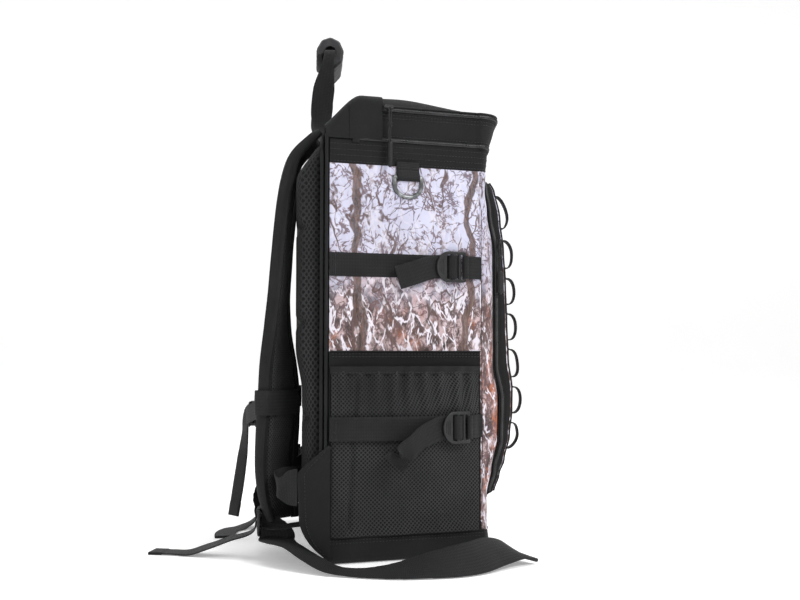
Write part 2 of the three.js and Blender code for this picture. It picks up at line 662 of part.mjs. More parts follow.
// Sternum keepers: webbing bands round the straps
const KEEPER_LOW = 152;
const KEEPER_HIGH = 178;
function keeperGeometry() {
  const rounded = (halfWidth, halfThick) => {
    const points = [];
    for (let i = 0; i < 16; i += 1) {
      const angle = (i / 16) * 2 * Math.PI;
      const c = Math.cos(angle);
      const s = Math.sin(angle);
      const stretch = (v) => Math.sign(v) * Math.abs(v) ** 0.45;
      points.push(new THREE.Vector2(halfWidth * stretch(c), halfThick * stretch(s)));
    }
    return points;
  };
  const shape = new THREE.Shape(rounded(32.2, 11.6));
  shape.holes.push(new THREE.Path(rounded(30.6, 10)));
  const band = new THREE.ExtrudeGeometry(shape, { depth: KEEPER_HIGH - KEEPER_LOW, bevelEnabled: false });
  return band.rotateZ(-radians(33.5)).translate(-98.2, 139.9, KEEPER_LOW);
}
addPair('sternum_keeper', keeperGeometry(), webbing);

// Side release buckle along X. The socket is on the left, the plug on the right.
function buckleSocket(width, length, thick) {
  const body = block(-length, -thick / 2, -width / 2, 0, thick / 2, width / 2);
  const mouth = block(-length * 0.66, -thick / 2 + 1.6, -width / 2 + 2, 1, thick / 2 - 1.6, width / 2 - 2);
  const window = (side) => block(
    -length * 0.6, -thick / 2 + 1.6, side > 0 ? width / 2 - 3 : -width / 2 - 1,
    -length * 0.28, thick / 2 - 1.6, side > 0 ? width / 2 + 1 : -width / 2 + 3,
  );
  const slotHalf = width / 2 - 2.6;
  const webSlot = block(-length + 2.4, -thick / 2 - 1, -slotHalf, -length + 6.4, thick / 2 + 1, slotHalf);
  return cut(body, mouth, window(1), window(-1), webSlot);
}
function bucklePlug(width, length, thick) {
  const flat = thick / 2 - 2;
  const head = block(0.4, -thick / 2, -width / 2, length * 0.62, thick / 2, width / 2);
  const reach = -length * 0.6;
  const prong = (side) => block(
    reach, -flat, side > 0 ? width / 2 - 6.2 : -width / 2 + 2.4,
    1, flat, side > 0 ? width / 2 - 2.4 : -width / 2 + 6.2,
  );
  const guide = block(reach * 0.8, -flat, -2, 1, flat, 2);
  const slotHalf = width / 2 - 2.6;
  const slot = (x0, x1) => block(x0, -thick / 2 - 1, -slotHalf, x1, thick / 2 + 1, slotHalf);
  const end = length * 0.62;
  return cut(join(head, prong(1), prong(-1), guide), slot(end - 5.8, end - 2.2), slot(end - 12, end - 8.4));
}
const STERNUM_AT = [4, 171.5, 147];
const WAIST_AT = [8, 146, 62];
add('sternum_buckle_socket', buckleSocket(29, 26, 9).translate(...STERNUM_AT), plastic);
add('sternum_buckle_plug', bucklePlug(29, 26, 9).translate(...STERNUM_AT), plastic);
add('waist_buckle_socket', buckleSocket(46, 38, 11).translate(...WAIST_AT), plastic);
add('waist_buckle_plug', bucklePlug(46, 38, 11).translate(...WAIST_AT), plastic);

// Sternum webbing: from each keeper to the buckle, with a free tail from the plug
const flat = (x, y, z, ax, ay, az) => ({ at: vec(x, y, z), across: vec(ax, ay, az) });
const sternumLeft = smooth([
  flat(-86, 151.6, 165, 0, 0, 1), flat(-66, 160, 160, 0, 0, 1), flat(-46, 167.5, 153, 0, 0, 1),
  flat(-30, 174.5, 148.5, 0, 0, 1), flat(-22, 177.2, 147, 0, 0, 1), flat(-16, 177.4, 147, 0, 0, 1),
], 11);
add('sternum_web_left', ribbon(sternumLeft, 20, WEB), webbing);
const sternumRight = smooth([
  flat(86, 151.6, 165, 0, 0, 1), flat(66, 160, 160, 0, 0, 1), flat(46, 166, 152, 0, 0, 1),
  flat(30, 169, 148, 0, 0, 1), flat(21, 165.6, 147, 0, 0, 1), flat(15, 165.5, 147, 0, 0, 1),
], 12);
add('sternum_web_right', ribbon(sternumRight, 20, WEB), webbing);
const sternumTail = smooth([
  flat(13, 177.6, 147, 0, 0, 1), flat(22, 178.6, 146.6, 0, 0.05, 1), flat(28.5, 181.5, 139, 0.5, 0.2, 0.7),
  flat(26, 182.5, 122, 0.9, 0.4, 0), flat(19, 185, 95, 0.8, 0.6, 0), flat(12, 189, 62, 0.75, 0.65, 0),
  flat(8, 194, 28, 0.8, 0.6, 0),
], 18);
add('sternum_tail', ribbon(sternumTail, 20, WEB), webbing);

// Waist belt webbing, and the long free tail that runs out past the side to the front
const beltLeft = smooth([
  flat(-152, 117.8, 80, 0, 0, 1), flat(-150.5, 128, 80, 0.1, 0, 1), flat(-145, 136.5, 80, 0.5, 0.1, 0.85),
  flat(-134, 138.5, 80, 0.6, 0.1, 0.8), flat(-122, 130, 79, 0.4, 0, 0.9), flat(-110, 119, 78, 0.1, 0, 1),
  flat(-98, 115.6, 77, 0, 0, 1), flat(-78, 115.8, 74, 0, 0, 1), flat(-60, 125, 71, 0, 0, 1),
  flat(-44, 136, 65, 0, 0, 1), flat(-32, 139.2, 63, 0, 0, 1), flat(-24, 139.2, 62, 0, 0, 1),
], 40);
add('waist_web_left', ribbon(beltLeft, BELT_WEB, WEB), webbing);
const beltRight = smooth([
  flat(152, 117.8, 80, 0, 0, 1), flat(150.5, 128, 80, -0.1, 0, 1), flat(145, 136.5, 80, -0.5, 0.1, 0.85),
  flat(134, 138.5, 80, -0.6, 0.1, 0.8), flat(122, 130, 79, -0.4, 0, 0.9), flat(110, 119, 78, -0.1, 0, 1),
  flat(98, 115.6, 77, 0, 0, 1), flat(78, 115.8, 74, 0, 0, 1), flat(60, 124, 70, 0, 0, 1),
  flat(42, 136, 64, 0, 0, 1), flat(30, 139, 62, 0, 0, 1), flat(22, 138.8, 62, 0, 0, 1),
], 64);
add('waist_web_right', ribbon(beltRight, BELT_WEB, WEB), webbing);

// Each station: x, y, tilt of the width off the floor in degrees, height of the low edge
const BELT_TAIL = [
  [-167, 103, -8, 13.5], [-182, 83, -4, 4.5], [-191, 61, 0, 1.6], [-199, 39, 6, 1.2], [-205, 15, 15, 1.2],
  [-206, -12, 28, 1.2], [-204, -37, 38, 1.2], [-193, -61, 42, 2], [-174, -83, 38, 5], [-155, -105, 22, 7],
  [-144, -119, 4, 3],
];
function floorTail() {
  const lead = [
    flat(-12, 153.6, 62, 0, 0, 1), flat(-31, 159.5, 58, 0, 0.1, 1), flat(-47, 158, 46, 0.1, 0.5, 0.8),
    flat(-63, 148, 32, 0.15, 0.85, 0.45), flat(-86, 140, 21, 0.1, 1, 0), flat(-110, 140, 20.5, 0.05, 1, 0),
    flat(-134, 136, 22, -0.5, 0.85, 0.08), flat(-152, 121, 19.5, -0.85, 0.5, 0.14),
  ];
  const low = BELT_TAIL.map(([x, y, tilt, edge], i) => {
    const a = BELT_TAIL[Math.max(i - 1, 0)];
    const b = BELT_TAIL[Math.min(i + 1, BELT_TAIL.length - 1)];
    const along = new THREE.Vector2(b[0] - a[0], b[1] - a[1]).normalize();
    const rise = Math.sin(radians(tilt));
    const level = Math.cos(radians(tilt));
    return flat(x, y, edge + (BELT_WEB / 2) * rise, along.y * level, -along.x * level, -rise);
  });
  return smooth([...lead, ...low], 150);
}
add('waist_tail', ribbon(floorTail(), BELT_WEB, WEB), webbing);

// Shoulder webbing: from the back seam up through the ladder lock and down to its free tail on the floor
const shoulderRise = [
  flat(-122, 92, 38, 1, 0, 0), flat(-121, 104, 38.5, 1, 0, 0), flat(-117, 117, 37, 1, 0, 0),
  flat(-109, 134, 33.4, 1, 0.1, 0), flat(-103, 147, 32.6, 1, 0.05, 0), flat(-101.2, 153.6, 34, 1, 0, 0),
  flat(-101, 155.7, 36.6, 1, 0, 0),
];
const throughLock = [
  flat(-101, 155.8, 38.6, 1, 0, 0), flat(-101, 156.6, 40.6, 1, 0, 0), flat(-101, 158.6, 41.2, 1, 0, 0),
  flat(-101, 160.8, 40.6, 1, 0, 0), flat(-101, 161.6, 38.6, 1, 0, 0),
];
const leftFall = [
  flat(-101, 161.9, 36, 1, 0, 0), flat(-101, 163, 31, 1, 0, 0), flat(-99.5, 169, 26, 1, 0, 0),
  flat(-94, 190, 19, 1, 0.1, 0), flat(-86, 213, 10, 1, 0.15, 0), flat(-76, 235, 2.5, 1, 0.2, 0),
  flat(-68, 255, 1.4, 1, 0.2, 0), flat(-63, 276, 1.4, 1, 0.1, 0),
];
const rightFall = [
  flat(-101, 161.9, 36, 1, 0, 0), flat(-101, 162.6, 29, 1, 0, 0), flat(-100, 166, 20, 1, 0, 0),
  flat(-96, 176, 8, 1, -0.1, 0), flat(-86, 190, 1.6, 0.9, -0.4, 0), flat(-68, 202, 1.4, 0.6, -0.8, 0),
  flat(-45, 206, 1.4, 0.2, -1, 0), flat(-20, 204, 1.4, 0, -1, 0),
];
const shoulderWeb = (fall) => bare(ribbon([
  ...smooth(shoulderRise, 14), ...throughLock, ...smooth(fall, 16),
], STRAP_WEB, WEB));
add('shoulder_web_left', shoulderWeb(leftFall), webbing);
add('shoulder_web_right', mirrored(shoulderWeb(rightFall)), webbing);
function shoulderLock() {
  const lock = ladderLock(STRAP_WEB, 28, LOCK_THICK).translate(0, 0, -LOCK_THICK / 2);
  // Width along X, thumb tab down, thickness along Y.
  lock.rotateX(-Math.PI / 2);
  return lock.translate(-101, 158.6, 38);
}
addPair('ladder_lock_shoulder', shoulderLock(), plastic);

// Grab handle: a webbing loop in the top back seam, folded to half its width inside a wrapped grip
const loop = (x, y, z, ax, ay, width, thick) => ({ at: vec(x, y, z), across: vec(ax, ay, 0), width, thick });
const handleLeg = smooth([
  loop(-29, 94.5, 455, 1, 0, 25, 1.8), loop(-30, 95, 468, 1, 0.15, 25, 1.8),
  loop(-32, 95, 482, 0.75, 0.65, 25, 1.8), loop(-35, 94, 497, 0.3, 0.95, 25, 1.8),
  loop(-40, 91.5, 520, 0, 1, 25, 1.8), loop(-45, 88, 543, 0, 1, 17, 2.6),
  loop(-47, 85.5, 557, 0, 1, 13, 3.4), loop(-44.5, 84.3, 566, 0, 1, 13, 3.4),
  loop(-37, 84, 568.5, 0, 1, 13, 3.4), loop(-12, 84, 569, 0, 1, 13, 3.4),
], 44);
const otherLeg = handleLeg.slice().reverse().map((s) => ({
  at: vec(-s.at.x, s.at.y, s.at.z),
  across: vec(-s.across.x, s.across.y, s.across.z),
  width: s.width,
  thick: s.thick,
}));
add('grab_handle_web', ribbon([...handleLeg, ...otherLeg], STRAP_WEB, WEB), webbing);

const GRIP_HALF = 40;
function gripGeometry() {
  const oval = (a, b, count) => Array.from({ length: count }, (_, i) => {
    const angle = (i / count) * 2 * Math.PI;
    return new THREE.Vector2(a * Math.cos(angle), b * Math.sin(angle));
  });
  const shape = new THREE.Shape(oval(15, 17, 20));
  shape.holes.push(new THREE.Path(oval(9.6, 5.6, 12)));
  const grip = new THREE.ExtrudeGeometry(shape, { depth: 2 * GRIP_HALF, bevelEnabled: false });
  grip.applyMatrix4(new THREE.Matrix4().makeBasis(vec(0, 1, 0), vec(0, 0, 1), vec(1, 0, 0)));
  return bare(grip.translate(-GRIP_HALF, 84, 569));
}
add('grab_handle_grip', gripGeometry(), sheetPlastic);

// Zip sliders and their pulls. A pull is a cord loop with a knot and a moulded tube for a grip.
function slider(length, height, thick) {
  const body = block(-thick / 2, -length / 2, -height / 2, thick / 2, length / 2, height / 2);
  const bail = block(-thick / 2 - 1.6, -1.6, -height / 2 + 1, -thick / 2 + 0.1, 1.6, height / 2 - 1);
  return join(body, bail);
}
function pullGeometry(cordLength, tubeLength, out) {
  const cord = block(-1.1 - out, -1.8, -cordLength, 1.1 - out, 1.8, 0);
  const knot = new THREE.SphereGeometry(2.6, 8, 6).translate(-out, 0, -cordLength * 0.45);
  const tube = new THREE.CylinderGeometry(3.4, 3, tubeLength, 10).rotateX(Math.PI / 2);
  return join(cord, knot, tube.translate(-out, 0, -cordLength - tubeLength / 2 + 1));
}
const LID_SLIDER_Y = 24;
const MAIN_SLIDER_Y = 46;
const LID_SLIDER_OUT = 3.6;     // middle of the slider, off the side
const MAIN_SLIDER_OUT = 4.4;
const PULL_REACH = 5;           // from the middle of a slider out to the middle of its cord
const sideSlider = (y, z, out) => sideFrame(slider(11, 7, 3.4), y, z, out);
const sidePull = (cordLength, tubeLength, y, z, out) => (
  sideFrame(pullGeometry(cordLength, tubeLength, PULL_REACH), y, z - 1, out)
);
add('lid_zip_slider', sideSlider(LID_SLIDER_Y, LID_TOP, LID_SLIDER_OUT), steel);
add('lid_zip_pull', sidePull(37, 27, LID_SLIDER_Y, LID_TOP, LID_SLIDER_OUT), cordMaterial);
add('main_zip_slider', mirrored(bare(sideSlider(MAIN_SLIDER_Y, ZIP_Z, MAIN_SLIDER_OUT))), steel);
const mainPull = sidePull(10, 9, MAIN_SLIDER_Y, ZIP_Z, MAIN_SLIDER_OUT);
add('main_zip_pull', mirrored(bare(mainPull)), cordMaterial);
const POCKET_SLIDER = [-99.6, -102.4, 338];
const [pocketX, pocketY, pocketZ] = POCKET_SLIDER;
add('pocket_zip_slider', bare(slider(7, 11, 3.4).translate(...POCKET_SLIDER)), steel);
const pocketPull = pullGeometry(30, 26, PULL_REACH).translate(pocketX, pocketY, pocketZ - 1);
add('pocket_zip_pull', bare(pocketPull), cordMaterial);

export default group;
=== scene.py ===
"""A hunting backpack: fabric shell, padding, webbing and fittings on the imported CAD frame."""

import math
import random

import bpy
from mathutils import Matrix, Vector, noise


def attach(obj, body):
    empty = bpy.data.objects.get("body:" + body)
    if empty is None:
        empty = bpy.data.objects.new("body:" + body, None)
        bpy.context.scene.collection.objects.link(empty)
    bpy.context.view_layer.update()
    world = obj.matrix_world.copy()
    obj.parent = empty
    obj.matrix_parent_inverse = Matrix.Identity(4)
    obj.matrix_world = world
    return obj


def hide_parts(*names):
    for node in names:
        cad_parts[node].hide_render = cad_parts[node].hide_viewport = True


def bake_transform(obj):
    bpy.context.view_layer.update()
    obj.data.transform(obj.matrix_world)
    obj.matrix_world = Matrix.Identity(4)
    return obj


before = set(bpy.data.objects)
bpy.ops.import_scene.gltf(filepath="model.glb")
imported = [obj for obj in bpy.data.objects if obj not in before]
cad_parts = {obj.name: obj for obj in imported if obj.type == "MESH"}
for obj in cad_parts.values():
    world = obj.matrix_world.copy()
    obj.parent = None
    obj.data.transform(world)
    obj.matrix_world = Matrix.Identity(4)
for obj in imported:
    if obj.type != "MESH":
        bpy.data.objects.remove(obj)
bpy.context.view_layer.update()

# Lengths below are in millimetres, the frame's own drawing unit; MM turns them into metres.
MM = 0.001
BACK_HALF = 150.0
SEAM_HALF = 110.0
BACK_Y = 90.0
SEAM_Y = -80.0
CORNER_HALF = 86.0
BOOT_TOP = 27.5
CAMO_BOTTOM = 219.0
CAMO_TOP = 417.0
ZIP_Z = 443.0
LID_TOP = 478.0
LID_HINGE_Y = 66.0
FLAP_HINGE_Y = 30.0
STRAP_WEB = 25.0
BELT_WEB = 38.0
WEB = 1.5
POCKET_HALF = 97.0
POCKET_BOTTOM = 66.0
POCKET_TOP = 410.0
POCKET_CROWN = 7.0
HARD_SEAM = 86.0
STRIP_START = 0.03          # the corner strip's share of the rounded corner
STRIP_END = 0.65
MESH_TOP = 201.0
MESH_BACK = 84.0
MESH_FRONT = -76.0
UPPER_STRAP_Z = 310.0
LOWER_STRAP_Z = 139.0
LOWER_BASE = 2.6
LOWER_BULGE = 16.5
SIDES = (("left", 1), ("right", -1))
SLOPE = math.atan2(BACK_HALF - SEAM_HALF, BACK_Y - SEAM_Y)
FRONT_PROFILE = (
    (0, -90), (38, -88), (64, -87), (91, -94), (124, -102), (168, -103),
    (205, -97), (330, -97), (373, -90), (397, -87), (417, -88), (443, -90),
)
POCKET_PROFILE = (
    (66, -95.5), (85, -101.5), (101, -107.5), (128, -113.5), (155, -116.5), (180, -117),
    (213, -113), (250, -111.5), (298, -110), (330, -108), (365, -104.5), (398, -99), (410, -97),
)

# ---------------------------------------------------------------- camera
CAMERA_AT = (-1.2002, 0.1044, 0.2130)
CAMERA_YAW = 5.02
CAMERA_PITCH = 3.24
yaw = math.radians(CAMERA_YAW)
pitch = math.radians(CAMERA_PITCH)
aim = Vector((math.cos(yaw) * math.cos(pitch), -math.sin(yaw) * math.cos(pitch), math.sin(pitch)))
camera = bpy.data.objects.new("camera", bpy.data.cameras.new("camera"))
camera.data.lens = 45.5
camera.data.clip_start = 0.02
camera.data.clip_end = 50
camera.location = CAMERA_AT
camera.rotation_euler = aim.to_track_quat("-Z", "Y").to_euler()
bpy.context.scene.collection.objects.link(camera)
bpy.context.scene.camera = camera


# ---------------------------------------------------------------- numbers
def lerp(a, b, t):
    return a + (b - a) * t


def clamp(x, low=0.0, high=1.0):
    return max(low, min(high, x))


def step(low, high, x):
    t = clamp((x - low) / (high - low))
    return t * t * (3 - 2 * t)


def spread(a, b, count):
    return [lerp(a, b, i / count) for i in range(count + 1)]


def V(x, y, z):
    return Vector((x, y, z)) * MM


def profile(pairs, z):
    """A value at height z on a smooth curve through (height, value) pairs."""
    if z <= pairs[0][0]:
        return pairs[0][1]
    for (z0, a), (z1, b) in zip(pairs, pairs[1:]):
        if z <= z1:
            t = (z - z0) / (z1 - z0)
            return lerp(a, b, t * t * (3 - 2 * t))
    return pairs[-1][1]


def ripple(x, y, z, size):
    """Smooth noise from -1 to 1 whose lumps are about size millimetres across."""
    return noise.noise(Vector((x, y, z)) / size)


def centripetal(points, count):
    """count + 1 points on a centripetal Catmull-Rom curve through the given ones."""
    result = []
    last = len(points) - 1
    for i in range(count + 1):
        place = last * i / count
        k = min(int(place), last - 1)
        t = place - k
        p1, p2 = points[k], points[k + 1]
        p0 = points[k - 1] if k > 0 else p1 * 2 - p2
        p3 = points[k + 2] if k + 2 <= last else p2 * 2 - p1
        d = [max((b - a).length ** 0.5, 1e-6) for a, b in ((p0, p1), (p1, p2), (p2, p3))]
        t1 = (p1 - p0) / d[0] - (p2 - p0) / (d[0] + d[1]) + (p2 - p1) / d[1]
        t2 = (p2 - p1) / d[1] - (p3 - p1) / (d[1] + d[2]) + (p3 - p2) / d[2]
        t1 = t1 * d[1]
        t2 = t2 * d[1]
        result.append(p1 + t1 * t + (3 * (p2 - p1) - 2 * t1 - t2) * t**2 + (2 * (p1 - p2) + t1 + t2) * t**3)
    return result


def run_lengths(points):
    """The length of a line of points up to each of them."""
    lengths = [0.0]
    for a, b in zip(points, points[1:]):
        lengths.append(lengths[-1] + (b - a).length)
    return lengths


def even(points, gap):
    """Points about gap apart along a line of points."""
    lengths = run_lengths(points)
    count = max(2, round(lengths[-1] / gap))
    result = []
    k = 0
    for i in range(count + 1):
        want = lengths[-1] * i / count
        while k < len(lengths) - 2 and lengths[k + 1] < want:
            k += 1
        span = max(lengths[k + 1] - lengths[k], 1e-9)
        result.append(points[k].lerp(points[k + 1], clamp((want - lengths[k]) / span)))
    return result


# ---------------------------------------------------------------- materials
class Look:
    """A material's node tree, built with short calls."""

    def __init__(self, name):
        self.material = bpy.data.materials.new(name)
        self.material.use_nodes = True
        self.tree = self.material.node_tree
        self.shader = self.tree.nodes["Principled BSDF"]

    def node(self, kind, **values):
        made = self.tree.nodes.new(kind)
        for key, value in values.items():
            setattr(made, key, value)
        return made

    def link(self, source, target):
        self.tree.links.new(source, target)

    def put(self, socket, value):
        if hasattr(value, "is_linked"):
            self.link(value, socket)
        else:
            socket.default_value = value

    def math(self, operation, a, b=0.0, c=0.0):
        made = self.node("ShaderNodeMath", operation=operation)
        for socket, value in zip(made.inputs, (a, b, c)):
            self.put(socket, value)
        return made.outputs[0]

    def smooth(self, value, low, high):
        made = self.node("ShaderNodeMapRange", interpolation_type="SMOOTHSTEP")
        self.put(made.inputs["Value"], value)
        made.inputs["From Min"].default_value = low
        made.inputs["From Max"].default_value = high
        return made.outputs["Result"]

    def mix(self, amount, a, b):
        made = self.node("ShaderNodeMix", data_type="RGBA")
        self.put(made.inputs["Factor"], amount)
        for socket, value in ((made.inputs[6], a), (made.inputs[7], b)):
            self.put(socket, value if hasattr(value, "is_linked") else (*value, 1))
        return made.outputs[2]

    def cloth(self):
        """Metres across and along the fabric, from the mesh's own cloth attribute."""
        made = self.node("ShaderNodeAttribute", attribute_name="cloth")
        return made.outputs["Vector"]

    def place(self):
        return self.node("ShaderNodeTexCoord").outputs["Object"]

    def parts(self, vector):
        made = self.node("ShaderNodeSeparateXYZ")
        self.link(vector, made.inputs[0])
        return made.outputs[0], made.outputs[1], made.outputs[2]

    def scaled(self, vector, x, y, z, shift=(0, 0, 0)):
        made = self.node("ShaderNodeMapping")
        self.link(vector, made.inputs["Vector"])
        made.inputs["Scale"].default_value = (x, y, z)
        made.inputs["Location"].default_value = shift
        return made.outputs[0]

    def turned(self, vector, angle):
        made = self.node("ShaderNodeMapping")
        self.link(vector, made.inputs["Vector"])
        made.inputs["Rotation"].default_value = (0, 0, angle)
        return made.outputs[0]

    def noise(self, vector, scale, detail=3.0, rough=0.55):
        made = self.node("ShaderNodeTexNoise")
        self.link(vector, made.inputs["Vector"])
        made.inputs["Scale"].default_value = scale
        made.inputs["Detail"].default_value = detail
        made.inputs["Roughness"].default_value = rough
        return made.outputs["Fac"]

    def warped(self, vector, scale, amount):
        made = self.node("ShaderNodeTexNoise")
        self.link(vector, made.inputs["Vector"])
        made.inputs["Scale"].default_value = scale
        made.inputs["Detail"].default_value = 2.0
        lean = self.node("ShaderNodeVectorMath", operation="SUBTRACT")
        self.link(made.outputs["Color"], lean.inputs[0])
        lean.inputs[1].default_value = (0.5, 0.5, 0.5)
        grow = self.node("ShaderNodeVectorMath", operation="SCALE")
        self.link(lean.outputs[0], grow.inputs[0])
        grow.inputs["Scale"].default_value = amount
        total = self.node("ShaderNodeVectorMath", operation="ADD")
        self.link(vector, total.inputs[0])
        self.link(grow.outputs[0], total.inputs[1])
        return total.outputs[0]

    def wave(self, value, pitch):
        """A sine of a length in metres, from 0 to 1."""
        angle = self.math("MULTIPLY", value, 2 * math.pi / pitch)
        return self.math("MULTIPLY_ADD", self.math("SINE", angle), 0.5, 0.5)

    def bump(self, height, distance, strength=1.0, under=None):
        made = self.node("ShaderNodeBump")
        made.inputs["Strength"].default_value = strength
        made.inputs["Distance"].default_value = distance
        self.link(height, made.inputs["Height"])
        if under is not None:
            self.link(under, made.inputs["Normal"])
        return made.outputs[0]

    def finish(self, color, rough, normal=None, metal=0.0, sheen=0.0, sheen_rough=0.5, specular=0.5):
        self.put(self.shader.inputs["Base Color"], color if hasattr(color, "is_linked") else (*color, 1))
        self.put(self.shader.inputs["Roughness"], rough)
        self.shader.inputs["Metallic"].default_value = metal
        self.shader.inputs["Sheen Weight"].default_value = sheen
        self.shader.inputs["Sheen Roughness"].default_value = sheen_rough
        self.shader.inputs["Specular IOR Level"].default_value = specular
        if normal is not None:
            self.link(normal, self.shader.inputs["Normal"])
        return self.material


def woven(name, dark, light, pitch, depth=0.00025):
    """Plain-woven nylon or polyester, with the slubs and scuffs of a used bag, and painted shade where the
    threads dip.
    """
    look = Look(name)
    u, v, _ = look.parts(look.cloth())
    warp = look.wave(u, pitch)
    weft = look.wave(v, pitch)
    cross = look.math("ABSOLUTE", look.math("SUBTRACT", warp, weft))
    worn = look.noise(look.place(), 22, 4)
    slub = look.noise(look.scaled(look.cloth(), 1, 0.08, 1), 900, 2)
    # shade: painted shade between the raised threads, with the slubs and worn patches mixed in
    shade = look.math("MULTIPLY_ADD", cross, 0.55, look.math("MULTIPLY", slub, 0.45))
    shade = look.math("MULTIPLY", shade, look.smooth(worn, 0.15, 0.9))
    color = look.mix(shade, dark, light)
    creases = look.bump(look.noise(look.place(), 42, 3), 0.0016, 0.55)
    threads = look.bump(look.math("ADD", cross, look.math("MULTIPLY", slub, 0.4)), depth, 0.6, creases)
    rough = look.math("MULTIPLY_ADD", worn, 0.2, 0.62)
    return look.finish(color, rough, threads, sheen=0.04, specular=0.16)


def ribbed(name, dark, light, pitch):
    """Webbing: picks across its width, in columns along its length, with painted shade in the grooves between
    them.
    """
    look = Look(name)
    u, v, _ = look.parts(look.cloth())
    columns = look.wave(u, 2.1 * pitch)
    ribs = look.wave(look.math("MULTIPLY_ADD", columns, pitch * 0.35, v), pitch)
    rounded_ribs = look.math("POWER", ribs, 0.6)
    height = look.math("MULTIPLY", rounded_ribs, look.math("MULTIPLY_ADD", columns, 0.3, 0.7))
    worn = look.noise(look.place(), 30, 3)
    # Colour follows the rib height: painted shade in the grooves, with worn patches.
    color = look.mix(look.math("MULTIPLY", height, look.smooth(worn, 0.1, 0.95)), dark, light)
    soft = look.bump(worn, 0.0012, 0.4)
    threads = look.bump(height, 0.0004, 0.75, soft)
    rough = look.math("MULTIPLY_ADD", height, -0.18, 0.72)
    return look.finish(color, rough, threads, sheen=0.04, specular=0.2)


def netted(name, hole, thread, across, along, sharp=0.24):
    """Open mesh: threads round diamond holes, the dark layer showing through the holes with painted shade on
    it.
    """
    look = Look(name)
    u, v, _ = look.parts(look.cloth())
    lean_a = look.math("ADD", look.math("DIVIDE", u, across), look.math("DIVIDE", v, along))
    lean_b = look.math("SUBTRACT", look.math("DIVIDE", u, across), look.math("DIVIDE", v, along))
    a = look.math("ABSOLUTE", look.math("SINE", look.math("MULTIPLY", lean_a, math.pi)))
    b = look.math("ABSOLUTE", look.math("SINE", look.math("MULTIPLY", lean_b, math.pi)))
    inside = look.math("MULTIPLY", a, b)
    threads = look.math("SUBTRACT", 1.0, look.smooth(inside, sharp, sharp + 0.3))
    # twist paints highlights: light streaks along the twist of each thread.
    twist = look.wave(look.math("ADD", u, v), 0.0007)
    worn = look.noise(look.place(), 16, 3)
    lit = look.math("MULTIPLY", threads, look.math("MULTIPLY_ADD", twist, 0.3, look.smooth(worn, -0.2, 1.1)))
    # The hole colour is the dark layer behind, painted darker still as the shade inside the mesh.
    color = look.mix(lit, hole, thread)
    normal = look.bump(threads, 0.0009, 0.9)
    return look.finish(color, 0.7, normal, sheen=0.04, specular=0.2)


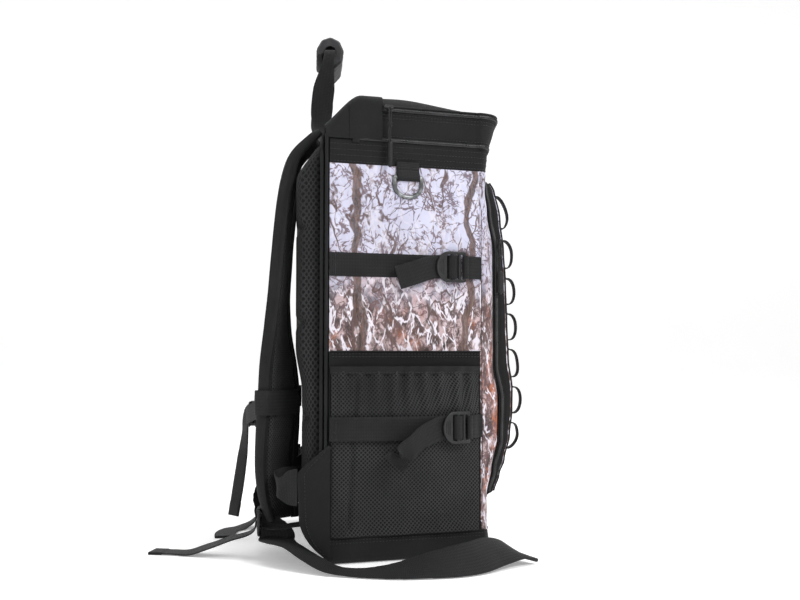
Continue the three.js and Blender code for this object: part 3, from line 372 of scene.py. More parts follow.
def printed():
    """Camouflage print: bare twigs on a pale sky above, leaf litter and stems below."""
    look = Look("camo_print")
    cloth = look.cloth()
    u, v, _ = look.parts(cloth)
    wander = look.noise(cloth, 16, 4)
    height = look.math("MULTIPLY_ADD", look.math("SUBTRACT", wander, 0.5), 0.17, v)
    sky_part = look.smooth(height, 0.255, 0.335)
    sky = look.mix(look.noise(cloth, 26, 3), (0.44, 0.44, 0.60), (0.66, 0.67, 0.80))
    haze = look.noise(look.scaled(look.warped(cloth, 40, 0.02), 1, 0.45, 1), 95, 6, 0.7)
    litter = look.mix(look.smooth(haze, 0.42, 0.60), (0.045, 0.03, 0.028), (0.50, 0.38, 0.39))
    rust_at = look.noise(look.scaled(cloth, 1, 0.6, 1, (3, 1, 0)), 34, 5, 0.7)
    low = look.smooth(look.math("SUBTRACT", 0.31, v), 0.0, 0.22)
    rust_share = look.math("MULTIPLY_ADD", low, 0.6, 0.3)
    rust_part = look.math("MULTIPLY", look.smooth(rust_at, 0.5, 0.64), rust_share)
    litter = look.mix(rust_part, litter, (0.46, 0.13, 0.045))
    color = look.mix(sky_part, litter, sky)
    far = look.noise(look.scaled(cloth, 1, 0.4, 1, (1, 7, 0)), 60, 6, 0.72)
    color = look.mix(look.math("MULTIPLY", look.smooth(far, 0.53, 0.66), 0.3), color, (0.40, 0.33, 0.36))

    def strands(turn, scale, stretch, width, seed, keep):
        """Long curved lines that wander across the cloth, broken where the mask fades."""
        leaning = look.turned(cloth, turn)
        field = look.noise(look.scaled(leaning, 1, stretch, 1, (seed, seed * 0.6, 0)), scale, 4, 0.55)
        off = look.math("ABSOLUTE", look.math("SUBTRACT", field, 0.5))
        line = look.math("SUBTRACT", 1.0, look.smooth(off, width * 0.4, width))
        mask = look.noise(look.scaled(leaning, 1, 0.5, 1, (seed * 3, 2, 0)), 45, 3)
        part = look.smooth(mask, keep, keep + 0.06)
        return look.math("MULTIPLY", line, part)

    def tangle(*settings):
        """Several families of strands laid over each other."""
        total = strands(*settings[0])
        for setting in settings[1:]:
            total = look.math("MAXIMUM", total, strands(*setting))
        return total

    fine = tangle(
        (0.5, 26, 0.45, 0.011, 2.0, 0.44), (-0.45, 26, 0.45, 0.011, 5.0, 0.45),
        (1.2, 34, 0.4, 0.012, 8.0, 0.47), (-1.1, 34, 0.4, 0.012, 11.0, 0.47),
        (0.1, 44, 0.3, 0.016, 14.0, 0.46), (-0.8, 55, 0.45, 0.017, 17.0, 0.48),
        (0.8, 55, 0.45, 0.017, 21.0, 0.48))
    tone = look.mix(look.noise(cloth, 21, 2), (0.045, 0.04, 0.065), (0.17, 0.08, 0.065))
    color = look.mix(look.math("MULTIPLY", fine, 0.85), color, tone)
    pale = tangle((0.15, 40, 0.3, 0.02, 31.0, 0.42), (-0.35, 48, 0.35, 0.02, 37.0, 0.42))
    pale_part = look.math("MULTIPLY", pale, look.math("SUBTRACT", 1.0, look.math("MULTIPLY", sky_part, 0.6)))
    color = look.mix(pale_part, color, (0.72, 0.68, 0.75))
    stout = tangle((0.3, 13, 0.4, 0.009, 41.0, 0.45), (-0.4, 12, 0.4, 0.009, 47.0, 0.47))
    bark_grain = look.noise(look.scaled(cloth, 1, 0.2, 1), 400, 3)
    bark = look.mix(bark_grain, (0.025, 0.018, 0.018), (0.15, 0.085, 0.075))
    color = look.mix(look.math("MULTIPLY", stout, 0.9), color, bark)
    sway = look.math("SUBTRACT", look.noise(look.scaled(cloth, 0.6, 1, 1), 9, 3), 0.5)
    lean = look.math("MULTIPLY", sway, 0.085)
    stem = look.wave(look.math("ADD", u, lean), 0.118)
    trunk = look.smooth(look.math("MULTIPLY_ADD", look.noise(cloth, 60, 2), 0.012, stem), 0.988, 0.997)
    grain = look.noise(look.scaled(look.warped(cloth, 60, 0.01), 1, 0.12, 1), 260, 4, 0.7)
    trunk_color = look.mix(look.smooth(grain, 0.35, 0.65), (0.03, 0.02, 0.018), (0.15, 0.09, 0.075))
    color = look.mix(look.math("MULTIPLY", trunk, 0.9), color, trunk_color)
    shade = look.smooth(look.noise(cloth, 11, 2), 0.1, 0.75)
    color = look.mix(look.math("MULTIPLY_ADD", shade, -0.25, 0.25), color, (0.20, 0.15, 0.15))
    warp = look.wave(u, 0.0011)
    weft = look.wave(v, 0.0011)
    cross = look.math("ABSOLUTE", look.math("SUBTRACT", warp, weft))
    creases = look.bump(look.noise(look.place(), 38, 3), 0.0014, 0.5)
    normal = look.bump(cross, 0.0002, 0.5, creases)
    return look.finish(color, 0.68, normal, sheen=0.05, specular=0.3)


def moulded(name, dark, light, rough):
    """Moulded plastic or rubber: fine spark-eroded grain, handling marks in random patches."""
    look = Look(name)
    grain = look.noise(look.place(), 1500, 2)
    marks = look.noise(look.place(), 90, 4)
    color = look.mix(look.smooth(marks, 0.35, 0.75), dark, light)
    value = look.math("MULTIPLY_ADD", marks, 0.22, rough - 0.11)
    return look.finish(color, value, look.bump(grain, 0.0001, 0.35), specular=0.4)


def plated(name, dark, light, rough, metal):
    """Plated or enamelled metal with worn patches."""
    look = Look(name)
    marks = look.noise(look.place(), 160, 5)
    color = look.mix(look.smooth(marks, 0.42, 0.7), dark, light)
    scratch = look.noise(look.scaled(look.place(), 1, 1, 6), 700, 2)
    value = look.math("MULTIPLY_ADD", scratch, 0.2, rough - 0.08)
    return look.finish(color, value, look.bump(marks, 0.00015, 0.3), metal=metal)


def twisted(name, dark, light, pitch):
    """Thread or braided cord: strands that wind round it, with painted shade between them."""
    look = Look(name)
    u, v, _ = look.parts(look.cloth())
    strands = look.wave(look.math("ADD", u, v), pitch)
    other = look.wave(look.math("SUBTRACT", u, v), pitch)
    height = look.math("MAXIMUM", strands, other)
    # Colour follows the strand height: painted shade between the strands.
    color = look.mix(height, dark, light)
    return look.finish(color, 0.75, look.bump(height, 0.0002, 0.7), sheen=0.15, specular=0.3)


BLACK = woven("nylon", (0.0063, 0.0063, 0.0067), (0.02, 0.02, 0.0215), 0.0009)
BOOT = woven("heavy_nylon", (0.006, 0.006, 0.0065), (0.019, 0.019, 0.02), 0.0012, 0.0003)
LINING = woven("lining", (0.014, 0.014, 0.0154), (0.035, 0.035, 0.0371), 0.0006, 0.00015)
WEBBING = ribbed("webbing", (0.0055, 0.0055, 0.006), (0.02, 0.02, 0.0215), 0.0017)
BINDING = ribbed("binding", (0.005, 0.005, 0.0053), (0.018, 0.018, 0.019), 0.0010)
CAMO = printed()
NET = netted("pocket_mesh", (0.0025, 0.0025, 0.0027), (0.04, 0.04, 0.042), 0.0044, 0.0044)
SPACER = netted("spacer_mesh", (0.0018, 0.0018, 0.002), (0.026, 0.026, 0.028), 0.0052, 0.0074, 0.30)
STRAP_MESH = netted("strap_mesh", (0.0035, 0.0035, 0.0038), (0.0364, 0.0364, 0.0385), 0.0030, 0.0040, 0.26)
PLASTIC = moulded("acetal", (0.0084, 0.0084, 0.0091), (0.0168, 0.0168, 0.0182), 0.42)
COIL = moulded("zip_coil", (0.004, 0.004, 0.0045), (0.02, 0.02, 0.0215), 0.30)
VINYL = moulded("grip_wrap", (0.0144, 0.0144, 0.0162), (0.0306, 0.0306, 0.0333), 0.55)
SHEET_PLASTIC = moulded("sheet_plastic", (0.02, 0.02, 0.022), (0.045, 0.045, 0.05), 0.5)
STEEL = plated("plated_steel", (0.11, 0.115, 0.115), (0.30, 0.31, 0.31), 0.36, 0.85)
ENAMEL = plated("enamelled_zinc", (0.006, 0.006, 0.007), (0.035, 0.035, 0.038), 0.36, 0.4)
THREAD = twisted("thread", (0.004, 0.004, 0.0045), (0.018, 0.018, 0.0195), 0.0006)
BRAID = twisted("braided_cord", (0.003, 0.003, 0.0033), (0.010, 0.010, 0.0108), 0.0012)
PULL = moulded("pull_rubber", (0.003, 0.003, 0.0033), (0.008, 0.008, 0.0086), 0.6)


# ---------------------------------------------------------------- pieces
def make(name, verts, faces, materials, cloth=None, picks=None, crease=50):
    """A mesh object in metres. cloth gives each vertex its place on the flat fabric."""
    mesh = bpy.data.meshes.new(name)
    mesh.from_pydata([tuple(v) for v in verts], [], faces)
    materials = materials if isinstance(materials, (list, tuple)) else [materials]
    for material in materials:
        mesh.materials.append(material)
    if picks:
        mesh.polygons.foreach_set("material_index", picks)
    mesh.polygons.foreach_set("use_smooth", [True] * len(mesh.polygons))
    if crease < 180:
        mesh.set_sharp_from_angle(angle=math.radians(crease))
    if cloth is not None:
        data = mesh.attributes.new("cloth", "FLOAT_VECTOR", "POINT").data
        data.foreach_set("vector", [c for p in cloth for c in p])
    mesh.validate()
    made = bpy.data.objects.new(name, mesh)
    bpy.context.scene.collection.objects.link(made)
    return made


def put(piece, body, slot, *nodes):
    """Say what a piece rides on, and hide the CAD nodes it stands for; slot, its finish, is not used."""
    if isinstance(body, tuple):
        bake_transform(piece)
    else:
        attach(piece, body)
    if nodes:
        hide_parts(*nodes)
    return piece


def mirror(points):
    return [Vector((-p.x, p.y, p.z)) for p in points]


def sided(points, sign):
    """A left side's points as they are, or mirrored for the right."""
    return points if sign > 0 else mirror(points)


def handed(stations, sign):
    """A left side's webbing stations as they are, or mirrored for the right."""
    return stations if sign > 0 else [(-x, y, z, -a, b, c) for x, y, z, a, b, c in stations]


def grid_normals(grid, loop):
    rows, cols = len(grid), len(grid[0])
    result = []
    for i in range(rows):
        line = []
        for j in range(cols):
            left = grid[i][(j - 1) % cols] if loop else grid[i][max(j - 1, 0)]
            right = grid[i][(j + 1) % cols] if loop else grid[i][min(j + 1, cols - 1)]
            down = grid[max(i - 1, 0)][j]
            up = grid[min(i + 1, rows - 1)][j]
            normal = (right - left).cross(up - down)
            line.append(normal.normalized() if normal.length > 1e-14 else Vector((0, 0, 1)))
        result.append(line)
    return result


def skin(name, grid, thick, materials, loop=False, pick=None, cloth=None, turn=1, inner=None, cap=False):
    """A sheet of fabric: grid is its outer face, row by row; it is thick metres through.
    turn is -1 where the grid's own normal points inward. inner is the lining's material number."""
    rows, cols = len(grid), len(grid[0])
    normals = grid_normals(grid, loop)
    outer = [p for row in grid for p in row]
    under = [grid[i][j] - normals[i][j] * thick * turn for i in range(rows) for j in range(cols)]
    if cloth is None:
        cloth = []
        along = 0.0
        for i in range(rows):
            if i:
                along += (grid[i][cols // 2] - grid[i - 1][cols // 2]).length
            around = 0.0
            for j in range(cols):
                if j:
                    around += (grid[i][j] - grid[i][j - 1]).length
                cloth.append((around, along, 0.0))
    count = rows * cols
    faces, picks = [], []
    width = cols if loop else cols - 1
    for i in range(rows - 1):
        for j in range(width):
            a, b = i * cols + j, i * cols + (j + 1) % cols
            quad = (a, b, b + cols, a + cols)
            chosen = pick(i, j) if pick else 0
            faces.append(quad if turn > 0 else quad[::-1])
            picks.append(chosen)
            lower = tuple(k + count for k in quad)
            faces.append(lower[::-1] if turn > 0 else lower)
            picks.append(inner if inner is not None else chosen)

    def rim(first, second, number):
        quad = (first, second, second + count, first + count)
        faces.append(quad[::-1] if turn > 0 else quad)
        picks.append(number)

    for j in range(width):
        a, b = j, (j + 1) % cols
        top = (rows - 1) * cols
        if not cap:
            rim(a, b, pick(0, j) if pick else 0)
        rim(top + b, top + a, pick(rows - 2, j) if pick else 0)
    if cap:
        faces.append(tuple(range(cols)) if turn < 0 else tuple(reversed(range(cols))))
        picks.append(0)
        ring = range(count, count + cols)
        faces.append(tuple(ring) if turn > 0 else tuple(reversed(ring)))
        picks.append(0)
    if not loop:
        for i in range(rows - 1):
            a, b = i * cols, (i + 1) * cols
            rim(b, a, pick(i, 0) if pick else 0)
            rim(a + cols - 1, b + cols - 1, pick(i, width - 1) if pick else 0)
    return make(name, outer + under, faces, materials, list(cloth) * 2, picks)


def matched(points, values, line):
    """For each point of line, the value of the nearest of points, both in the same order."""
    result = []
    k = 0
    for p in line:
        while k < len(points) - 1 and (points[k + 1] - p).length < (points[k] - p).length:
            k += 1
        result.append(values[k])
    return result


def frames(points, hint):
    """Unit vectors along, across and up at each point; hint leans across where it can."""
    result = []
    for i in range(len(points)):
        a = points[max(i - 1, 0)]
        b = points[min(i + 1, len(points) - 1)]
        along = (b - a).normalized()
        want = hint[i] if isinstance(hint, list) else hint
        across = (want - along * along.dot(want)).normalized()
        result.append((along, across, along.cross(across)))
    return result


def sweep(name, points, hint, section, material, cloth=None, closed_ends=True, scale=None, crease=50):
    """A closed section, as (across, up) pairs in metres, carried along points."""
    size = len(section)
    verts, flat = [], []
    girth = [0.0]
    for (a, b), (c, d) in zip(section, section[1:]):
        girth.append(girth[-1] + math.hypot(c - a, d - b))
    length = 0.0
    for i, (p, (_, across, up)) in enumerate(zip(points, frames(points, hint))):
        if i:
            length += (p - points[i - 1]).length
        grow = scale(i) if scale else (1, 1)
        for k, (a, b) in enumerate(section):
            verts.append(p + across * a * grow[0] + up * b * grow[1])
            flat.append((a, length, 0.0) if cloth == "flat" else (girth[k], length, 0.0))
    faces = []
    for i in range(len(points) - 1):
        for k in range(size):
            a, b = i * size + k, i * size + (k + 1) % size
            faces.append((a, a + size, b + size, b))
    if closed_ends:
        faces.append(tuple(range(size)))
        last = (len(points) - 1) * size
        faces.append(tuple(reversed(range(last, last + size))))
    return make(name, verts, faces, material, flat, crease=crease)


def circle(radius, sides):
    angles = [2 * math.pi * k / sides for k in range(sides)]
    return [(radius * math.cos(a), radius * math.sin(a)) for a in angles]


def tube(name, points, radius, material, sides=8, hint=Vector((0.31, 0.17, 0.93)), scale=None):
    return sweep(name, points, hint, circle(radius, sides), material, scale=scale, crease=180)


def web_section(width, thick):
    """The section of webbing: flat, with slightly thinner selvages."""
    half = width / 2
    across = [-1, -0.93, -0.6, -0.2, 0.2, 0.6, 0.93, 1]
    rise = [0.55, 1, 1, 1, 1, 1, 1, 0.55]
    top = [(a * half, r * thick / 2) for a, r in zip(across, rise)]
    return top[::-1] + [(a, -b) for a, b in top]


def webbing(name, stations, width, thick=WEB, gap=2.5, hem=(0, 0), hem_grow=1.9, widths=None):
    """Webbing through stations (x, y, z, ax, ay, az); hem gives the doubled length at each end, in mm."""
    at = [V(*s[:3]) for s in stations]
    turn = [Vector(s[3:6]) for s in stations]
    fine = 10 * (len(at) - 1)
    points = centripetal(at, fine)
    hints = centripetal(turn, fine)
    line = even(points, gap * MM)
    picked = [hint.normalized() for hint in matched(points, hints, line)]
    place = run_lengths(line)
    total = place[-1]

    def grow(i):
        double = 1.0
        if hem[0] and place[i] < hem[0] * MM:
            double = hem_grow
        if hem[1] and total - place[i] < hem[1] * MM:
            double = hem_grow
        wide = 1.0 if widths is None else widths(place[i] / total)
        return (wide, double)

    section = web_section(width * MM, thick * MM)
    return sweep(name, line, picked, section, WEBBING, "flat", scale=grow)


def stitches(name, lines, body, pitch=3.6, length=2.5, radius=0.32):
    """Rows of thread along lines of points on the surface; every stitch is its own small lozenge."""
    verts, faces, flat = [], [], []
    sides = 6
    rings = ((-0.5, 0.35), (-0.3, 1.0), (0.3, 1.0), (0.5, 0.35))
    for line in lines:
        marks = even(line, pitch * MM)
        for a, b in zip(marks, marks[1:]):
            along = (b - a).normalized()
            side = along.orthogonal().normalized()
            up = along.cross(side)
            middle = (a + b) / 2
            start = len(verts)
            for t, r in rings:
                for k in range(sides):
                    angle = 2 * math.pi * k / sides
                    off = (side * math.cos(angle) + up * math.sin(angle)) * radius * MM * r
                    verts.append(middle + along * t * length * MM + off)
                    flat.append((angle * radius * MM, t * length * MM, 0.0))
            for i in range(len(rings) - 1):
                for k in range(sides):
                    p, q = start + i * sides + k, start + i * sides + (k + 1) % sides
                    faces.append((p, q, q + sides, p + sides))
            faces.append(tuple(reversed(range(start, start + sides))))
            end = start + (len(rings) - 1) * sides
            faces.append(tuple(range(end, end + sides)))
    put(make(name, verts, faces, THREAD, flat, crease=180), body, "black_fabric")


def zip_line(name, points, normals, body, width=4.6, height=2.4, pitch=1.7, tape=9.0, sink=0.2):
    """A closed coil zip on its tape. normals point away from the bag."""
    line = even(points, pitch * MM / 4)
    hints = matched(points, normals, line)
    base = [p + normal * (height / 2 - sink) * MM for p, normal in zip(line, hints)]
    section = circle(1.0, 8)
    shaped = [(a * height / 2 * MM, b * width / 2 * MM) for a, b in section]

    def bead(i):
        pulse = (1.0, 0.80, 0.62, 0.80)[i % 4]
        return (pulse, 0.78 + 0.22 * pulse)

    coil = sweep(name + "_coil", base, hints, shaped, COIL, scale=bead, crease=180)
    put(coil, body, "zip_metal")
    slim = even(points, 3 * MM)
    half = tape * MM / 2
    thin = 0.35 * MM
    tape_section = [(thin, -half), (thin, half), (-thin, half), (-thin, -half)]
    tape_piece = sweep(name + "_tape", slim, matched(points, normals, slim), tape_section, BINDING)
    put(tape_piece, body, "black_fabric")


def plate(name, outline, holes, thick, bevel, matrix, material):
    """A moulded plate with holes: outline and holes are in the plate's own plane, in mm."""
    data = bpy.data.curves.new(name, "CURVE")
    data.dimensions = "2D"
    data.fill_mode = "BOTH"
    data.extrude = (thick / 2 - bevel) * MM
    data.bevel_depth = bevel * MM
    data.bevel_resolution = 2
    data.offset = -bevel * MM
    for loop in (outline, *holes):
        spline = data.splines.new("POLY")
        spline.points.add(len(loop) - 1)
        for point, (x, y) in zip(spline.points, loop):
            point.co = (x * MM, y * MM, 0, 1)
        spline.use_cyclic_u = True
    made = bpy.data.objects.new(name, data)
    bpy.context.scene.collection.objects.link(made)
    bpy.context.view_layer.update()
    mesh = bpy.data.meshes.new_from_object(made.evaluated_get(bpy.context.evaluated_depsgraph_get()))
    bpy.data.objects.remove(made)
    mesh.transform(matrix)
    if matrix.determinant() < 0:
        mesh.flip_normals()
    mesh.name = name
    mesh.materials.clear()
    mesh.materials.append(material)
    mesh.polygons.foreach_set("use_smooth", [True] * len(mesh.polygons))
    mesh.set_sharp_from_angle(angle=math.radians(40))
    piece = bpy.data.objects.new(name, mesh)
    bpy.context.scene.collection.objects.link(piece)
    return piece


def merge(name, pieces):
    """Join several new pieces into one."""
    verts, faces, picks, materials = [], [], [], []
    flat = []
    for piece in pieces:
        start = len(verts)
        mesh = piece.data
        verts += [piece.matrix_world @ v.co for v in mesh.vertices]
        cloth = mesh.attributes.get("cloth")
        flat += [tuple(c.vector) for c in cloth.data] if cloth else [tuple(v.co) for v in mesh.vertices]
        for material in mesh.materials:
            if material not in materials:
                materials.append(material)
        for polygon in mesh.polygons:
            faces.append(tuple(k + start for k in polygon.vertices))
            picks.append(materials.index(mesh.materials[polygon.material_index]))
    for piece in pieces:
        bpy.data.objects.remove(piece)
    return make(name, verts, faces, materials, flat, picks)


def closed_loft(name, rings, material):
    size = len(rings[0])
    verts = [p for ring in rings for p in ring]
    faces = []
    for i in range(len(rings) - 1):
        for k in range(size):
            a, b = i * size + k, i * size + (k + 1) % size
            faces.append((a, b, b + size, a + size))
    faces.append(tuple(reversed(range(size))))
    faces.append(tuple(range((len(rings) - 1) * size, len(rings) * size)))
    made = make(name, verts, faces, material, crease=180)
    mesh = made.data
    total = sum(mesh.vertices[k].co.dot(p.normal) * p.area for p in mesh.polygons for k in p.vertices[:1])
    if total < 0:
        mesh.flip_normals()
    return made


def copy_mirrored(piece, name):
    """The same piece on the other side of the bag."""
    mesh = piece.data.copy()
    mesh.transform(Matrix.Diagonal((-1, 1, 1, 1)))
    mesh.flip_normals()
    mesh.name = name
    made = bpy.data.objects.new(name, mesh)
    bpy.context.scene.collection.objects.link(made)
    return made


def arc(cx, cy, rx, ry, start, end, count):
    """Points on an ellipse's arc, in mm, with the angles in degrees."""
    angles = [math.radians(a) for a in spread(start, end, count)]
    return [(cx + rx * math.cos(a), cy + ry * math.sin(a)) for a in angles]


def rounded(x0, y0, x1, y1, radius, count=4):
    corners = ((x1 - radius, y1 - radius, 0), (x0 + radius, y1 - radius, 90),
               (x0 + radius, y0 + radius, 180), (x1 - radius, y0 + radius, 270))
    return [p for x, y, a in corners for p in arc(x, y, radius, radius, a, a + 90, count)]


# ---------------------------------------------------------------- the bag's outline
def side_half(y):
    return lerp(SEAM_HALF, BACK_HALF, (y - SEAM_Y) / (BACK_Y - SEAM_Y))


def front_y(z):
    return profile(FRONT_PROFILE, z)


def off_side(y, out):
    """Plan point on the left side, out millimetres off it."""
    return -side_half(y) - out * math.cos(SLOPE), y - out * math.sin(SLOPE)


def beside(sign, y, out, z):
    """A point at height z, out millimetres off the side that sign says."""
    x, plan_y = off_side(y, out)
    return V(sign * x, plan_y, z)


def corner(part, z, out=0.0):
    """The rounded front corner on the left, from 0 at the side seam to 1 at the front."""
    front = front_y(z)
    p = [Vector((-SEAM_HALF, SEAM_Y)), Vector((-side_half(front), front)), Vector((-CORNER_HALF, front))]
    at = p[0] * (1 - part) ** 2 + p[1] * 2 * part * (1 - part) + p[2] * part**2
    along = ((p[1] - p[0]) * (1 - part) + (p[2] - p[1]) * part).normalized()
    return at.x + along.y * out, at.y - along.x * out


def body_line(z, back_y, out=0.0, side_count=26, corner_count=10, front_count=24):
    """The left side, the front and the right side in one plan line."""
    half = [off_side(y, out) for y in spread(back_y, SEAM_Y, side_count)]
    half += [corner(part, z, out) for part in spread(0, 1, corner_count)[1:]]
    front = half[-1][1]
    middle = [(x, front) for x in spread(half[-1][0], -half[-1][0], front_count)[1:-1]]
    return half + middle + [(-x, y) for x, y in reversed(half)]


def puff(y, z):
    """How far the left side panel stands out: it is held in by the seams and the upper strap."""
    along = clamp((HARD_SEAM - y) / (HARD_SEAM - SEAM_Y))
    rise = clamp((z - CAMO_BOTTOM) / (CAMO_TOP - CAMO_BOTTOM))
    full = math.sin(math.pi * along) ** 0.55 * math.sin(math.pi * rise) ** 0.45
    held = 1 - 0.93 * math.exp(-(((z - UPPER_STRAP_Z) / 19) ** 2))
    crinkle = 0.5 * ripple(y, z * 0.6, 3, 34) + 0.35 * ripple(y * 1.3, z * 0.5, 9, 13)
    pull = 0.7 * math.sin(z * 0.32 + y * 0.05) * math.exp(-(((y - 78) / 12) ** 2))
    return full * held * (3.6 + crinkle * 1.6) + 0.3 * full * pull


def low_puff(y, z):
    """How far the lower side panel stands out."""
    along = clamp((HARD_SEAM - y) / (HARD_SEAM - SEAM_Y))
    rise = clamp((z - BOOT_TOP) / (CAMO_BOTTOM - BOOT_TOP))
    full = 0.9 * math.sin(math.pi * along) ** 0.6 * math.sin(math.pi * rise) ** 0.4
    return full + 0.25 * ripple(y, z, 1, 26)


def strip_out(part, z):
    """How far the corner strip stands out between its two seams."""
    bulge = math.sin(math.pi * clamp((part - STRIP_START) / (STRIP_END - STRIP_START))) ** 0.7
    return bulge * (1.1 + 0.8 * ripple(part * 40, z, 5, 21))


def band_out(z):
    """How far the top band stands out."""
    return 0.9 * math.sin(math.pi * clamp((z - CAMO_TOP) / 26)) ** 0.5


# ---------------------------------------------------------------- side panels
for side, sign in SIDES:
    heights = spread(CAMO_BOTTOM + 0.3, CAMO_TOP - 0.3, 58)
    ys = spread(HARD_SEAM - 0.2, SEAM_Y + 1.2, 50)
    grid = [[beside(sign, y, puff(y, z), z) for y in ys] for z in heights]
    shift = 0.0 if sign > 0 else 0.63
    flat = [(shift + (HARD_SEAM - y) * MM, z * MM, 0.0) for z in heights for y in ys]
    piece = skin(f"camo_side_{side}", grid, 2.4 * MM, [CAMO, LINING], cloth=flat, turn=sign, inner=1)
    put(piece, "pack", "camo_fabric", f"side_panel_{side}")

    heights = spread(BOOT_TOP + 0.3, CAMO_BOTTOM, 40)
    grid = [[beside(sign, y, low_puff(y, z), z) for y in ys] for z in heights]
    piece = skin(f"lower_side_{side}", grid, 2.4 * MM, BLACK, turn=sign)
    put(piece, "pack", "black_fabric", f"side_lower_{side}")

    heights = spread(BOOT_TOP + 0.3, CAMO_TOP - 0.3, 96)
    parts = spread(STRIP_START, STRIP_END, 14)
    grid = []
    for z in heights:
        row = [corner(part, z, strip_out(part, z)) for part in parts]
        grid.append([V(sign * x, y, z) for x, y in row])
    flat = [(shift + (171 + 44 * part) * MM, (z - 12) * MM, 0.0) for z in heights for part in parts]
    piece = skin(f"camo_corner_{side}", grid, 2.4 * MM, [CAMO, LINING], cloth=flat, turn=sign, inner=1)
    put(piece, "pack", "camo_fabric", f"corner_strip_{side}")

# Front panel, behind the pocket
heights = spread(BOOT_TOP + 0.3, CAMO_TOP - 0.3, 60)
grid = []
for z in heights:
    left = [corner(part, z) for part in spread(0.72, 1, 5)]
    middle = [(x, left[-1][1]) for x in spread(left[-1][0], -left[-1][0], 24)[1:-1]]
    line = left + middle + [(-x, y) for x, y in reversed(left)]
    grid.append([V(x, y - 0.5 * ripple(x, z, 2, 30), z) for x, y in line])
put(skin("front_fabric", grid, 2.4 * MM, BLACK), "pack", "black_fabric", "front_panel")

# Top band, with its four rows of stitching
grid = []
for z in spread(CAMO_TOP, ZIP_Z - 0.3, 12):
    grid.append([V(x, y, z) for x, y in body_line(z, HARD_SEAM, band_out(z))])
put(skin("upper_band", grid, 2.8 * MM, BLACK), "pack", "black_fabric", "top_band")
rows = []
for z in (419.2, 425.5, 431.5, 437.5):
    rows.append([V(x, y, z) for x, y in body_line(z, HARD_SEAM, band_out(z) + 0.1)])
stitches("band_stitching", rows, "pack")

# Boot: the base with a heavy skirt
def boot_ring(z, out):
    left = body_line(z, BACK_Y - 4, out)
    back = [(x, BACK_Y + out) for x in spread(BACK_HALF - 5, -BACK_HALF + 5, 22)]
    return [V(x, y, z) for x, y in left + back]


base = boot_ring(0, -5)
middle = sum(base, Vector()) / len(base)
grid = [[middle.lerp(p, t) + V(0, 0, 0.6) for p in base] for t in (0.02, 0.3, 0.6, 0.9)]
BOOT_PROFILE = (
    (0.2, -5), (0.9, -2.6), (2.6, -0.9), (5, 0), (10, 0.5), (16, 0.7), (22, 0.5), (25.5, 0.2), (BOOT_TOP, 0),
)
for z, out in BOOT_PROFILE:
    wobble = [0.25 * ripple(p.x / MM, p.y / MM, z, 24) for p in base]
    grid.append([p + V(0, -w, 0) for p, w in zip(boot_ring(z, out), wobble)])
put(skin("boot", grid, 2.6 * MM, BOOT, loop=True, cap=True), "pack", "black_fabric", "base_boot")
rows = [[V(x, y, z) for x, y in body_line(z, HARD_SEAM, 0.35)] for z in (21.6, 24.6)]
stitches("boot_stitching", rows, "pack")
line = [V(x, y, BOOT_TOP + 0.2) for x, y in body_line(BOOT_TOP, HARD_SEAM, 0.4)]
put(tube("boot_piping", line, 0.9 * MM, BINDING), "pack", "black_fabric")

# Back wall and the stiffener inside it
grid = [[V(x, BACK_Y, z) for x in spread(149, -149, 40)] for z in spread(BOOT_TOP + 0.3, 446, 50)]
put(skin("back_fabric", grid, 2.6 * MM, BLACK), "pack", "black_fabric", "back_wall")
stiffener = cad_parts["frame_sheet"]
stiffener.data.materials.clear()
stiffener.data.materials.append(SHEET_PLASTIC)

# ---------------------------------------------------------------- lower bands and mesh pockets
def mesh_bulge(z):
    return lerp(2.5, 15, step(30, 130, z))


def across_side(y):
    middle = (MESH_BACK + MESH_FRONT) / 2
    return 1 - ((y - middle) / ((MESH_BACK - MESH_FRONT) / 2)) ** 2


def mesh_out(y, z):
    """How far the mesh pocket stands off the side, with its gathers and its pleat."""
    belly = mesh_bulge(z) * max(across_side(y), 0) ** 0.8
    squeeze = 1.7 * math.exp(-(((z - LOWER_STRAP_Z) / 17) ** 2)) * max(across_side(y), 0) ** 0.5
    top = step(120, 198, z)
    folds = math.sin(y * 0.36 + 1.2 * ripple(y, z, 0, 40)) * (0.5 + 0.5 * ripple(y * 1.4, z * 0.3, 4, 22))
    gather = 4.6 * top * folds * (1 - step(196, 201, z) * 0.7) * clamp(across_side(y) * 4)
    drape = 4.2 * ripple(y * 0.9, z * 0.35, 7, 30) * clamp(across_side(y) * 3)
    pleat = -3.2 * math.exp(-(((y - 63 + (z - 110) * 0.04) / 2.6) ** 2)) * step(201, 185, z) * step(28, 40, z)
    return 2.2 + belly - squeeze + gather + drape * 0.7 + pleat


